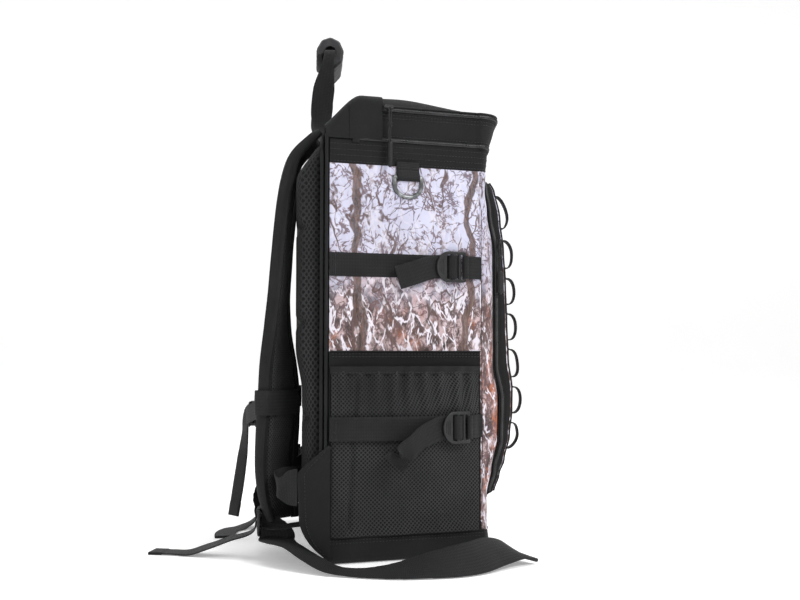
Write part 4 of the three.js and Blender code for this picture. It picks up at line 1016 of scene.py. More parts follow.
for side, sign in SIDES:
    ys = spread(MESH_BACK, MESH_FRONT, 110)
    heights = spread(28.0, MESH_TOP, 90)
    grid = [[beside(sign, y, mesh_out(y, z), z) for y in ys] for z in heights]
    piece = skin(f"mesh_side_{side}", grid, 0.8 * MM, NET, turn=sign)
    put(piece, "pack", "mesh_fabric", f"mesh_pocket_{side}")
    tall = sum((b[55] - a[55]).length for a, b in zip(grid, grid[1:]))
    line = [beside(sign, y, mesh_out(y, MESH_TOP) - 0.4, MESH_TOP - 1.5)
            for y in spread(MESH_BACK + 1, MESH_FRONT - 1, 60)]
    tilt = [Vector((0, 0, 1))] * len(line)
    section = web_section(8 * MM, 2.4 * MM)
    piece = sweep(f"mesh_binding_{side}", line, tilt, section, BINDING, "flat")
    put(piece, "pack", "black_fabric")
    rows = [[beside(sign, y, mesh_out(y, MESH_TOP) + 0.9, MESH_TOP - 4.2)
             for y in spread(MESH_BACK, MESH_FRONT, 60)]]
    stitches(f"mesh_binding_stitching_{side}", rows, "pack")
    rows = [[beside(sign, y, 1.2, CAMO_BOTTOM - drop) for y in spread(84, -78, 60)] for drop in (2.5, 5.5)]
    stitches(f"lower_band_stitching_{side}", rows, "pack")
    line = [beside(sign, y, 0.7, CAMO_BOTTOM) for y in spread(85, -79, 60)]
    put(tube(f"lower_band_piping_{side}", line, 0.9 * MM, BINDING), "pack", "black_fabric")
    line = [V(sign * off_side(SEAM_Y + 0.6, 0.2)[0], SEAM_Y + 0.6, z) for z in spread(BOOT_TOP, CAMO_TOP, 80)]
    put(tube(f"side_seam_{side}", line, 0.8 * MM, CAMO), "pack", "camo_fabric")

# ---------------------------------------------------------------- lid and yoke
LID_LEAN = 10.0
ROLL = 7.0                  # radius of the soft edge between a side and the top


def hoop(y, low, high, out, crown=0.0, count=16, inset=0.5):
    """A cross-section over the bag at y: up the left side, over the top and down the right."""
    half = side_half(y) - inset + out
    left = [(-half, lerp(low, high - ROLL, i / 9)) for i in range(10)]
    left += [(-half + ROLL * (1 - math.cos(a)), high - ROLL + ROLL * math.sin(a))
             for a in [math.radians(d) for d in spread(0, 90, 6)[1:]]]
    top = []
    for t in spread(-1, 1, count)[1:-1]:
        top.append((t * (half - ROLL), high + crown * (1 - abs(t) ** 5)))
    return [V(x, y, z) for x, z in left + top + [(-x, z) for x, z in reversed(left)]]


def roof_dome(y):
    """Extra height where the stuffed lid swells."""
    return 9.0 * step(-100, 20, y) * step(86, 50, y)


def roof(y):
    """Height of the top behind the flap: flat over the lid, then down to the back seam."""
    low = clamp((y - LID_HINGE_Y + 12) / (BACK_Y + 2 - LID_HINGE_Y + 12))
    return lerp(LID_TOP + 2.5, 453.5, low**1.5) + roof_dome(y)


def roof_out(y, z):
    return 1.2 * ripple(y * 1.5, z, 11, 26) + 0.8


grid = []
for y in spread(BACK_Y - 0.2, LID_HINGE_Y + 0.2, 14):
    grid.append(hoop(y, ZIP_Z + 0.4, roof(y), roof_out(y, 0) * 0.6, 1.5 * step(BACK_Y, 74, y)))
piece = skin("yoke", grid, 2.6 * MM, BLACK)
put(piece, "pack", "black_fabric", "lid_yoke")
grid = []
for y in spread(LID_HINGE_Y - 0.2, FLAP_HINGE_Y + 0.2, 18):
    crown = 1.5 + 2.2 * step(LID_HINGE_Y, FLAP_HINGE_Y, y)
    grid.append(hoop(y, ZIP_Z + 0.5, roof(y), roof_out(y, 0) * 0.6, crown))
rear_lid = skin("lid_rear", grid, 2.6 * MM, BLACK)
put(rear_lid, "lid", "black_fabric", "lid_shell")
grid = []
for y in spread(LID_HINGE_Y + 7, LID_HINGE_Y - 7, 22):
    grid.append(hoop(y, ZIP_Z + 1.5, roof(y) - 2.9, -2.8, 1.2))
fold = skin("lid_fold", grid, 0.8 * MM, LINING)
put(fold, ("pack", "lid", V(0, LID_HINGE_Y + 5, 460), V(0, LID_HINGE_Y - 5, 460)), "black_fabric")


def lid_line(z, out=0.0, back=FLAP_HINGE_Y, side_count=30, corner_count=12, front_count=26):
    """The lid's plan line at height z, from back on the left round the front to the right."""
    lean = LID_LEAN * (z - ZIP_Z) / (LID_TOP - ZIP_Z)
    front = -90 - lean
    p = [Vector((-SEAM_HALF - 1.5, SEAM_Y)), Vector((-side_half(front) - 1, front)),
         Vector((-CORNER_HALF, front - 1))]
    half = [off_side(y, out) for y in spread(back, SEAM_Y, side_count)]
    half[-1] = (p[0].x - out, p[0].y)
    for t in spread(0, 1, corner_count)[1:]:
        at = p[0] * (1 - t) ** 2 + p[1] * 2 * t * (1 - t) + p[2] * t**2
        along = ((p[1] - p[0]) * (1 - t) + (p[2] - p[1]) * t).normalized()
        half.append((at.x + along.y * out, at.y - along.x * out))
    edge = half[-1]
    middle = [(x, edge[1] - 3.5 * (1 - (x / edge[0]) ** 2))
              for x in spread(edge[0], -edge[0], front_count)[1:-1]]
    return half + middle + [(-x, y) for x, y in reversed(half)]


def plan_normals(line):
    result = []
    for i in range(len(line)):
        a, b = line[max(i - 1, 0)], line[min(i + 1, len(line) - 1)]
        along = Vector((b[0] - a[0], b[1] - a[1], 0)).normalized()
        result.append(Vector((along.y, -along.x, 0)))
    return result


def lid_out(z):
    return 1.6 * math.sin(math.pi * clamp((z - ZIP_Z) / (LID_TOP - ZIP_Z))) ** 0.7


grid = []
for z in spread(ZIP_Z + 0.5, LID_TOP, 16):
    row = lid_line(z, lid_out(z))
    grid.append([V(x + 0.5 * ripple(x, y, z, 30), y, z) for x, y in row])
band = skin("lid_band", grid, 2.6 * MM, BLACK)
put(band, "lid", "black_fabric")
rows = []
for z in (ZIP_Z + 5.5, LID_TOP - 6.5, LID_TOP - 10):
    rows.append([V(x, y, z) for x, y in lid_line(z, lid_out(z) + 0.25)])
stitches("lid_stitching", rows, "lid")
floor_line = lid_line(ZIP_Z + 1, -1.6, LID_HINGE_Y - 1)
near_half = floor_line[:len(floor_line) // 2]
grid = [[V(x * t, y, ZIP_Z + 1.2) for t in spread(-1, 1, 24)] for x, y in near_half]
put(skin("lid_floor", grid, 0.9 * MM, LINING, turn=-1), "lid", "black_fabric")
grid = [[V(x, LID_HINGE_Y - 3.4, z) for x in spread(-138, 138, 30)]
        for z in spread(ZIP_Z + 1.6, LID_TOP - 1.5, 6)]
put(skin("lid_rear_lining", grid, 0.9 * MM, LINING), "lid", "black_fabric")

# Lid flap: crowned over the lid pocket
FLAP_FRONT = -104.0


def flap_point(u, t):
    """u runs across from -1 to 1 and t from the hinge to the front edge."""
    line = lid_line(LID_TOP, 0.6)
    y = lerp(FLAP_HINGE_Y - 0.3, FLAP_FRONT, t)
    edge = side_half(y) + 0.6
    if y < SEAM_Y:
        near = min(line[:len(line) // 2], key=lambda p: abs(p[1] - y))
        edge = abs(near[0])
    x = u * edge
    along = clamp((FLAP_HINGE_Y - y) / 134)
    crown = 1.5 + 3.0 * math.sin(math.pi * min(along + 0.14, 1))
    swell = crown * (1 - abs(u) ** 3.2) * (1 - step(0.88, 1.0, t) * 0.9)
    rise = 1.4 * roof_dome(y) * (1 - abs(u) ** 20)
    return x, y, LID_TOP + 2.6 + swell + rise + 0.5 * ripple(x, y, 3, 34)


ts = spread(0, 1, 34)
us = [math.sin(a) for a in [lerp(-math.pi / 2, math.pi / 2, i / 44) for i in range(45)]]
front_row = lid_line(LID_TOP, 0.6)
reach = min(p[1] for p in front_row)
grid = []
for t in ts:
    row = []
    for u in us:
        x, y, z = flap_point(u, t)
        limit = reach + 3.5 * (x / CORNER_HALF) ** 2
        row.append(V(x, max(y, limit), z))
    grid.append(row)
flap = skin("lid_top", grid, 2.2 * MM, BLACK, turn=-1)
put(flap, "lid_cover", "black_fabric", "lid_flap")

# Lid zip: all round the front of the lid, under a rolled rim
rim_line = lid_line(LID_TOP - 1.0, 0.9)
normals = plan_normals(rim_line)
zip_line("lid_zip", [V(x, y, LID_TOP - 1.2) for x, y in rim_line], normals, "lid", tape=7.5)
rim_line = lid_line(LID_TOP, 1.1)
rim = tube("lid_rim", [V(x, y, LID_TOP + 2.4) for x, y in rim_line], 1.25 * MM, BINDING)
put(rim, "lid_cover", "black_fabric")
seam_z = roof(FLAP_HINGE_Y) + 0.9
strip = [V(x, FLAP_HINGE_Y, seam_z + 3.7 * (1 - abs(x / 125) ** 5)) for x in spread(-124, 124, 60)]
seam = tube("flap_seam", strip, 1.3 * MM, BINDING)
put(seam, "lid", "black_fabric")

# Main zip, under the lid, with a garage at each end
zip_back = 60.0
main_line = lid_line(ZIP_Z + 0.4, 0.5, zip_back)
normals = plan_normals(main_line)
zip_line("main_zip", [V(x, y, ZIP_Z + 1.0) for x, y in main_line], normals, "pack", tape=6.5)
for side, sign in SIDES:
    x, y = off_side(zip_back + 2, 1.2)
    a, b = off_side(zip_back - 5, 1.4)
    garage = sweep(f"zip_garage_{side}", [V(sign * x, y, ZIP_Z + 1), V(sign * a, b, ZIP_Z + 1)],
                   Vector((0, 0, 1)), web_section(9 * MM, 2.2 * MM), BINDING, "flat")
    put(garage, "pack", "black_fabric")

# Seam tape where the back panel, the yoke and the sides meet
for side, sign in SIDES:
    line = [V(sign * (BACK_HALF + 0.2), BACK_Y - 1, z) for z in spread(3, 447, 60)]
    put(tube(f"back_seam_{side}", line, 1.9 * MM, BINDING), "pack", "black_fabric")
line = [V(x, BACK_Y + 0.5, 448 + 4.5 * (1 - (x / 150) ** 4)) for x in spread(-149, 149, 40)]
put(tube("back_top_seam", line, 2.0 * MM, BINDING), "pack", "black_fabric")

# ---------------------------------------------------------------- front pocket
def pocket_half(z):
    radius = 30.0
    over = max(z - (POCKET_TOP - radius), 0)
    return POCKET_HALF - radius + math.sqrt(max(radius**2 - over**2, 100))


def pocket_face(z):
    return profile(POCKET_PROFILE, z)


def pocket_crown(z):
    return POCKET_CROWN * math.sin(math.pi * clamp((z - 50) / 370))


def pocket_ring(z, depth=1.0):
    """Across the pocket at height z: gusset, rolled edge, crowned face, and back on the other side."""
    half = pocket_half(z)
    rim = front_y(z) - 2.2
    face = lerp(rim, pocket_face(z), depth)
    crown = pocket_crown(z) * depth
    left = [(-half, rim), (-half - 0.3, lerp(rim, face, 0.3)), (-half + 0.2, lerp(rim, face, 0.62)),
            (-half + 1.6, lerp(rim, face, 0.88)), (-half + 5, face - 0.2)]
    inner = [(-half * 0.75, face - crown * 0.45), (-half * 0.5, face - crown * 0.75), (0, face - crown)]
    pairs = left + inner + [(-x, y) for x, y in reversed(left + inner[:-1])]
    fine = centripetal([Vector((x, y, 0)) for x, y in pairs], 4 * (len(pairs) - 1))
    result = []
    for p in fine:
        fold = 0.6 * ripple(p.x, z, 8, 30) + 0.35 * ripple(p.x * 1.5, z * 0.6, 2, 12)
        result.append(V(p.x, p.y - fold * depth * (1 if abs(p.x) < half - 4 else 0.3), z))
    return result


grid, flat = [], []
plan = [(POCKET_BOTTOM, 0.02), (POCKET_BOTTOM, 0.5), (POCKET_BOTTOM + 0.4, 0.92)]
plan += [(z, 1.0) for z in spread(POCKET_BOTTOM + 2, POCKET_TOP - 2, 96)]
plan += [(POCKET_TOP - 0.5, 0.9), (POCKET_TOP, 0.5), (POCKET_TOP, 0.02)]
for z, depth in plan:
    row = pocket_ring(z, depth)
    grid.append(row)
    flat += [(0.9 + p.x, p.z, 0.0) for p in row]
EDGE_COLUMNS = 12           # columns of the gusset and its rolled edge, on each side
wide = len(grid[0]) - 1
tall = len(grid) - 1


def pocket_part(i, j):
    if i < 2 or i > tall - 4 or j < EDGE_COLUMNS - 1 or j > wide - EDGE_COLUMNS:
        return 1
    return 0


piece = skin("pocket_fabric", grid, 1.8 * MM, [CAMO, BLACK, LINING], pick=pocket_part, cloth=flat, inner=2)
put(piece, "pocket", "camo_fabric", "front_pocket")


def pocket_edge(z, back):
    """The pocket's edge on the left: the zip line near the bag, or the piping near the face."""
    half = pocket_half(z)
    rim = front_y(z) - 2.2
    if back:
        return (-half - 0.2, rim + 0.2)
    return (-half + 2.2, lerp(rim, pocket_face(z), 0.93) - 0.6)


def pocket_loop(back, grow=0.0):
    left = []
    for z in spread(POCKET_BOTTOM + 1, POCKET_TOP - 3, 90):
        x, y = pocket_edge(z, back)
        left.append(V(x - grow, y, z))
    x, y = pocket_edge(POCKET_TOP - 1, back)
    top = [V(t * abs(x), y - (0 if back else pocket_crown(POCKET_TOP) * (1 - t * t)), POCKET_TOP + grow)
           for t in spread(-0.97, 0.97, 30)]
    return left + top + mirror(left)[::-1]


loop = pocket_loop(True, 1.4)
normals = []
for i, p in enumerate(loop):
    a, b = loop[max(i - 1, 0)], loop[min(i + 1, len(loop) - 1)]
    along = (b - a).normalized()
    normals.append(along.cross(Vector((0, 1, 0))).normalized() * -1)
middle = len(loop) // 2
if normals[middle].z < 0:
    normals = [-n for n in normals]
zip_line("pocket_zip", loop, normals, "pack", width=4.2, tape=7.0)
piping = tube("pocket_piping", pocket_loop(False), 1.0 * MM, BINDING)
put(piping, "pocket", "black_fabric")
grid = []
for drop, out in ((6, 0.8), (3, 1.6), (1.2, 4.2), (0.6, 6.6)):
    grid.append([V(x, front_y(64) - out - 1.4 * (1 - (x / 97) ** 2) * step(1, 6, out), POCKET_BOTTOM - drop)
                 for x in spread(-96, 96, 40)])
sill = skin("pocket_hem", grid, 0.9 * MM, BINDING)
put(sill, ("pack", "pocket", V(0, -90, 62), V(0, -96, 65)), "black_fabric")

# Daisy chains: webbing tacked to the pocket, slack between the tacks
DAISY_X = -72.0
DAISY_TACKS = (395, 345, 302, 262, 222, 180, 140, 101)


def daisy_base(z):
    along = abs(DAISY_X) / pocket_half(z)
    return pocket_face(z) - pocket_crown(z) * 1.05 * (1 - along) - 2.0


for side, sign in SIDES:
    stations = []
    for top, bottom in zip(DAISY_TACKS, DAISY_TACKS[1:]):
        low = lerp(top, bottom, 0.74)
        for k in range(16):
            angle = math.pi * k / 15
            out = 10.5 * math.sin(angle) ** 0.7
            z = lerp(top, low, (1 - math.cos(angle)) / 2)
            stations.append((sign * DAISY_X, daisy_base(z) - out, z, 1, 0, 0))
    end = DAISY_TACKS[-1]
    stations.append((sign * DAISY_X, daisy_base(end), end, 1, 0, 0))
    stations.append((sign * DAISY_X, daisy_base(end - 12), end - 12, 1, 0, 0))
    chain = webbing(f"daisy_{side}", stations, 12, 1.3, gap=1.2)
    put(chain, "pocket", "webbing", f"daisy_chain_{side}")
    rows = []
    for z in DAISY_TACKS:
        y = daisy_base(z) - 0.8
        for k in (-0.8, 0, 0.8):
            rows.append([V(sign * DAISY_X - 5, y, z + k), V(sign * DAISY_X + 5, y, z + k)])
    stitches(f"daisy_tacks_{side}", rows, "pocket", pitch=1.3, length=1.25, radius=0.4)

# ---------------------------------------------------------------- compression straps
LOCK_S = 135.0
LOCK_LENGTH = 32.0
LOCK_THICK = 3.2


def on_side(s, h, z, bulge):
    """A point s forward of the back seam and h off the left side, over the pocket's bulge."""
    y = HARD_SEAM - s * math.cos(SLOPE)
    belly = bulge * max(across_side(clamp(y, MESH_FRONT, MESH_BACK)), 0) ** 0.8
    return (*off_side(y, h + belly), z)


ROUTE = (
    (0, 1.4), (8, 1.4), (16, 1.4), (32, 1.4), (50, 1.4), (75, 1.4), (100, 1.4), (118, 1.4), (134, 1.4),
    (138, 1.9), (139.3, 4), (139.3, 8.2), (138, 9.8), (132, 9.8), (130.7, 8.2), (130.7, 5.8),
    (129.0, 4.4), (126, 4.2), (116, 4.4),
)
UPPER_TAIL = ((106, 6.6, 2.5, 5), (97, 8.6, 5.5, 8), (88, 10, 8.5, 9), (80, 10.4, 11, 8), (72, 9.6, 13.5, 5))
LOWER_TAIL = ((106, 7, 3, 8), (92, 10, 9, 18), (80, 12, 18, 30), (69, 12, 27, 42), (62, 11, 36, 50))


def strap_stations(z, base, bulge, tail):
    stations = [(*on_side(s, base + h, z, bulge), 0, 0, 1) for s, h in ROUTE]
    for s, h, drop, lean in tail:
        angle = math.radians(lean)
        x, y, _ = on_side(s, base + h, z, bulge)
        stations.append((x, y, z - drop, 0, -math.sin(angle), math.cos(angle)))
    return stations


def lock_outline(web, length):
    """A ladder lock in its own plane: the thumb tab is a half disc at the far end."""
    half = web / 2 + 4.3
    low, high = -length / 2, length / 2 + 1.5
    shoulder = high - 14
    outline = arc(-half + 2.5, low + 2.5, 2.5, 2.5, 180, 270, 3)
    outline += arc(half - 2.5, low + 2.5, 2.5, 2.5, 270, 360, 3)
    outline += arc(0, shoulder, half, high - shoulder, 0, 180, 16)
    slot = web / 2 + 0.8
    holes = [rounded(-slot, low + a, slot, low + b, 0.9, 2) for a, b in ((3, 6.2), (8.6, 13.4), (16.8, 21.6))]
    return outline, holes


def lock_piece(name, web, length, matrix):
    outline, holes = lock_outline(web, length)
    parts = [plate("plate", outline, holes, LOCK_THICK, 0.8, matrix, PLASTIC)]
    low = -length / 2
    for y, radius in ((low + 1.6, 2.0), (low + 7.4, 1.9), (low + 15.1, 2.1)):
        line = [matrix @ V(x, y, 0) for x in (-web / 2 - 2.5, 0, web / 2 + 2.5)]
        parts.append(tube("bar", line, radius * MM, PLASTIC, sides=12))
    for k in range(3):
        y = length / 2 - 6.5 + 2.2 * k
        wide = 8.5 - 1.8 * k
        line = [matrix @ V(x, y, LOCK_THICK / 2) for x in spread(-wide, wide, 4)]
        parts.append(tube("ridge", line, 0.55 * MM, PLASTIC, sides=8))
        line = [matrix @ V(x, y, -LOCK_THICK / 2) for x in spread(-wide, wide, 4)]
        parts.append(tube("ridge", line, 0.55 * MM, PLASTIC, sides=8))
    return merge(name, parts)


def side_lock_matrix(z, base, bulge):
    tab = Vector(on_side(LOCK_S - 10, base + 6.95, z, bulge))
    front = Vector(on_side(LOCK_S + 10, base + 6.95, z, bulge))
    direction = math.atan2(tab.y - front.y, tab.x - front.x)
    turn = Matrix.Rotation(direction - math.pi, 4, "Z") @ Matrix.Rotation(math.pi / 2, 4, "X")
    turn = turn @ Matrix.Rotation(math.pi / 2, 4, "Z")
    return Matrix.Translation(tab.lerp(front, 0.45) * MM) @ turn


for level, z, base, bulge, sink, tail in (
    ("upper", UPPER_STRAP_Z, 0.0, 0.0, 0, UPPER_TAIL),
    ("lower", LOWER_STRAP_Z, LOWER_BASE, LOWER_BULGE, 1.2, LOWER_TAIL),
):
    stations = strap_stations(z, base, bulge, tail)
    lock = lock_piece(f"lock_{level}_left", STRAP_WEB, LOCK_LENGTH, side_lock_matrix(z, base, bulge))
    for side, sign in SIDES:
        name = f"{level}_{side}"
        piece = webbing(f"strap_{name}", handed(stations, sign), STRAP_WEB, hem=(0, 15))
        start = on_side(60, 0, z, bulge)
        end = on_side(116, 0, z, bulge)
        ends = [V(sign * p[0], p[1], p[2]) for p in (start, end)]
        put(piece, ("pack", f"lock_{name}", *ends), "webbing", f"compression_strap_{name}")
        made = lock if sign > 0 else copy_mirrored(lock, f"lock_{name}")
        put(made, f"lock_{name}", "buckle_plastic", f"ladder_lock_{name}")
        bar = LOCK_S + LOCK_LENGTH / 2 - 1.0
        anchor = [(170.5, 1.2), (165, 2.0), (158, 4.6), (bar + 2.3, 6.0), (bar + 2.9, 7.0), (bar + 2.3, 8.6),
                  (bar, 9.8), (bar - 2.3, 9.2), (bar - 3.0, 7.0), (bar - 2.0, 4.6), (158, 2.6), (165, 0.9),
                  (170, 0.4)]
        route = [(*on_side(s, base + h - sink * step(150, 168, s), z, bulge), 0, 0, 1) for s, h in anchor]
        piece = webbing(f"anchor_{name}", handed(route, sign), STRAP_WEB - 0.6, 1.2, gap=1.2)
        put(piece, "pack", "webbing")
        rows = []
        for s in (3.5, 6.0):
            rows.append(sided([V(*on_side(s, base + 2.3, z + k, bulge)) for k in (-11, 0, 11)], sign))
        stitches(f"strap_tacks_{name}", rows, "pack", pitch=2.2, length=2.0)

# ---------------------------------------------------------------- D-rings
RING_Y = 2.7
RING_Z = 404.5
RING_WIRE = 2.3             # radius of the ring's wire
for side, sign in SIDES:
    cx, cy = off_side(RING_Y, 3.2)
    forward = Vector((math.sin(SLOPE), -math.cos(SLOPE), 0))
    outward = Vector((-math.cos(SLOPE), -math.sin(SLOPE), 0))

    def ring_point(along, out, rise):
        p = Vector((cx, cy, RING_Z)) + forward * along + outward * out + Vector((0, 0, rise))
        return Vector((sign * p.x, p.y, p.z)) * MM

    half = 15.2
    outline = [(half, 0.4), (half, -3), (half, -8)]
    outline += [(half * math.cos(a), -8 - 13 * math.sin(a)) for a in [math.pi * k / 24 for k in range(1, 24)]]
    outline += [(-half, -8), (-half, -3), (-half, 0.4)]
    bow = tube("bow", [ring_point(a, 0, r) for a, r in outline], RING_WIRE * MM, STEEL, sides=12)
    straight = [ring_point(a, 0, 0) for a in spread(-half - 1.1, half + 1.1, 8)]
    bar = tube("bar", straight, RING_WIRE * MM, STEEL, sides=12)
    ring = merge(f"ring_{side}", [bow, bar])
    put(ring, f"ring_{side}", "ring_metal", f"d_ring_{side}")
    loop = [(-1.6, 17), (-1.5, 8), (-1.6, 4.5), (-2.35, 1.8), (-2.35, -0.8), (-1.2, -2.6), (0, -3.1),
            (1.2, -2.6), (2.35, -0.8), (2.35, 1.8), (0.9, 4.8), (-0.1, 8), (-0.2, 17)]
    points = centripetal([ring_point(0, a, r) for a, r in loop], 60)
    across = Vector((sign * forward.x, forward.y, 0))
    tab = sweep(f"ring_tab_{side}", points, across, web_section(25.4 * MM, 1.2 * MM), WEBBING, "flat")
    put(tab, "pack", "webbing", f"d_ring_tab_{side}")
    rows = [[ring_point(a, 0.6, r) for a in (-11, 0, 11)] for r in (7.2, 10.4)]
    stitches(f"ring_tab_stitching_{side}", rows, "pack", pitch=2.4, length=2.1)

# ---------------------------------------------------------------- padding
SIM_FRAMES = 20


def voxel_copy(piece, size):
    """A closed, evenly meshed copy of a padded form, ready to inflate."""
    remesh = piece.modifiers.new("voxels", "REMESH")
    remesh.mode = "VOXEL"
    remesh.voxel_size = size * MM
    bpy.context.view_layer.update()
    mesh = bpy.data.meshes.new_from_object(piece.evaluated_get(bpy.context.evaluated_depsgraph_get()))
    materials = list(piece.data.materials)
    name = piece.name
    bpy.data.objects.remove(piece)
    made = bpy.data.objects.new(name, mesh)
    mesh.materials.clear()
    for material in materials:
        mesh.materials.append(material)
    bpy.context.scene.collection.objects.link(made)
    return made


def inflate(piece, pressure, cap):
    """Swell a pad by cloth simulation; no point moves more than cap millimetres."""
    rest = [v.co.copy() for v in piece.data.vertices]
    cloth = piece.modifiers.new("cloth", "CLOTH")
    cloth.settings.quality = 5
    cloth.settings.mass = 0.25
    cloth.settings.tension_stiffness = 14
    cloth.settings.compression_stiffness = 14
    cloth.settings.shear_stiffness = 6
    cloth.settings.bending_stiffness = 0.6
    cloth.settings.use_pressure = True
    cloth.settings.uniform_pressure_force = pressure
    cloth.settings.effector_weights.gravity = 0
    cloth.collision_settings.use_collision = False
    scene = bpy.context.scene
    for number in range(1, SIM_FRAMES + 1):
        scene.frame_set(number)
    swollen = piece.evaluated_get(bpy.context.evaluated_depsgraph_get())
    moved = [v.co.copy() for v in swollen.data.vertices]
    piece.modifiers.remove(cloth)
    scene.frame_set(1)
    for vertex, start, end in zip(piece.data.vertices, rest, moved):
        push = end - start
        if push.length > cap * MM:
            push *= cap * MM / push.length
        vertex.co = start + push
    return piece


def refine(piece):
    """Subdivide once for a smooth surface, and keep the result as the mesh."""
    finer = piece.modifiers.new("finer", "SUBSURF")
    finer.levels = 1
    finer.render_levels = 1
    bpy.context.view_layer.update()
    mesh = bpy.data.meshes.new_from_object(piece.evaluated_get(bpy.context.evaluated_depsgraph_get()))
    piece.modifiers.remove(finer)
    old = piece.data
    piece.data = mesh
    mesh.name = old.name
    bpy.data.meshes.remove(old)
    mesh.polygons.foreach_set("use_smooth", [True] * len(mesh.polygons))
    return piece


def lay_cloth(piece, place):
    """Give every point of a simulated pad its place on the fabric."""
    mesh = piece.data
    found = mesh.attributes.get("cloth") or mesh.attributes.new("cloth", "FLOAT_VECTOR", "POINT")
    found.data.foreach_set("vector", [c for v in mesh.vertices for c in place(v.co)])


def shape_points(piece, move):
    for vertex in piece.data.vertices:
        vertex.co = move(vertex.co.copy())


# Back pad
PAD_BOTTOM = 43.0
PAD_TOP = 445.0
PAD_HALF = 146.0
PAD_INNER = 90.6
PAD_FACE = 110.0
CHANNELS = (-47.0, 47.0)    # sewn channels down the pad
RUNGS = (150.0, 250.0, 350.0)


def pad_ring(y, inset):
    half, low, high = PAD_HALF - inset, PAD_BOTTOM + inset, PAD_TOP - inset
    radius = 22
    points = []
    for x, z, a in ((half - radius, high - radius, 0), (-half + radius, high - radius, 90),
                    (-half + radius, low + radius, 180), (half - radius, low + radius, 270)):
        points += arc(x, z, radius, radius, a, a + 90, 8)
    full = []
    for k, p in enumerate(points):
        q = points[(k + 1) % len(points)]
        cuts = max(1, round(math.dist(p, q) / 8))
        full += [V(lerp(p[0], q[0], i / cuts), y, lerp(p[1], q[1], i / cuts)) for i in range(cuts)]
    return full


slab_rings = [pad_ring(y, inset) for y, inset in (
    (PAD_INNER, 5), (PAD_INNER + 2, 2), (PAD_INNER + 7, 1.2),
    (PAD_FACE - 8, 1.2), (PAD_FACE - 2.5, 3), (PAD_FACE - 0.5, 7),
)]
pad = voxel_copy(closed_loft("back_padding", slab_rings, SPACER), 6)
inflate(pad, 4.0, 4.0)
pad = refine(pad)


def pad_face(z):
    """How far back the finished pad reaches at height z."""
    low, middle, top = 110.5, 117.0, 99.0
    return lerp(lerp(low, middle, step(175, 225, z)), top, step(400, PAD_TOP + 2, z))


def channelled(co):
    x, y, z = co / MM
    y = PAD_INNER + (y - PAD_INNER) * (pad_face(z) - PAD_INNER) / (PAD_FACE - PAD_INNER)
    if y > PAD_INNER + 8:
        dip = max(math.exp(-(((x - c) / 5.5) ** 2)) for c in CHANNELS)
        side = step(55, 66, abs(x))
        rung = max(math.exp(-(((z - r) / 5.0) ** 2)) for r in RUNGS) * side
        hollow = 0.7 * step(40, 30, abs(x))
        edge = step(PAD_HALF, PAD_HALF - 12, abs(x)) * step(PAD_BOTTOM, PAD_BOTTOM + 12, z)
        edge *= step(PAD_TOP, PAD_TOP - 12, z)
        y -= edge * (6.0 * max(dip, 0.8 * rung) + 3.2 * hollow) * step(PAD_INNER + 8, PAD_FACE - 1, y)
        y += 0.5 * ripple(x, z, 4, 40)
    return V(x, min(max(y, PAD_INNER), pad_face(z) + 4.0), z)


shape_points(pad, channelled)


def pad_cloth(co):
    x, y, z = co
    turn = max(PAD_FACE * MM - y, 0) if abs(x) > 0.135 else 0
    return (x + math.copysign(turn, x), z + (y - PAD_FACE * MM if abs(x) <= 0.135 else 0) * 0.3, 0.0)


lay_cloth(pad, pad_cloth)
put(pad, "pack", "mesh_fabric", "back_pad")
rows = []
for c in CHANNELS:
    rows.append([V(c, pad_face(z) - 4.2, z) for z in spread(PAD_BOTTOM + 14, PAD_TOP - 14, 60)])
for r in RUNGS:
    for sign in (1, -1):
        rows.append([V(sign * x, pad_face(r) - 3.0, r) for x in spread(66, PAD_HALF - 12, 14)])
stitches("pad_stitching", rows, "pack", pitch=4.2, length=3.0, radius=0.45)
edge = pad_ring(PAD_INNER + 3.2, -1.6)
put(tube("pad_piping", edge + edge[:2], 2.1 * MM, BINDING), "pack", "black_fabric")

# Shoulder straps: x, y, z, twist in degrees, width, thickness
STRAP_STATIONS = (
    (-77, 96, 458.5, 0, 62, 8), (-79, 103, 452.5, 0, 62, 11), (-80, 109.5, 446, 0, 62, 12),
    (-82, 117, 438, 0, 62, 13), (-84.5, 123.5, 428, 0, 62, 14), (-87, 128.5, 411, 0, 62, 15),
    (-89, 132.5, 388, 2, 62, 15), (-91.5, 135.5, 360, 3, 62, 15), (-94, 138, 328, 4, 62, 15),
    (-96, 140.5, 285, 6, 61, 15), (-97, 141.5, 240, 14, 60, 15), (-98, 140.5, 205, 26, 59, 15),
    (-98, 139.5, 170, 34, 58, 15), (-99, 140.5, 130, 38, 57, 15), (-100, 141.5, 95, 40, 54, 14),
    (-101, 139.5, 68, 41, 50, 13), (-101, 136, 52, 42, 47, 11), (-101, 133, 40.5, 43, 41, 8),
)


def strap_line(count):
    """Centre, across, outward, width, thickness and along, down the strap; outward is off the bag."""
    at = centripetal([V(*s[:3]) for s in STRAP_STATIONS], count)
    facts = centripetal([Vector(s[3:6]) for s in STRAP_STATIONS], count)
    result = []
    for i, p in enumerate(at):
        along = (at[min(i + 1, count)] - at[max(i - 1, 0)]).normalized()
        twist = math.radians(facts[i].x)
        across = Vector((math.cos(twist), -math.sin(twist), 0))
        out = across.cross(along).normalized()
        result.append((p, across, out, facts[i].y, facts[i].z, along))
    return result


strap_rows = strap_line(150)


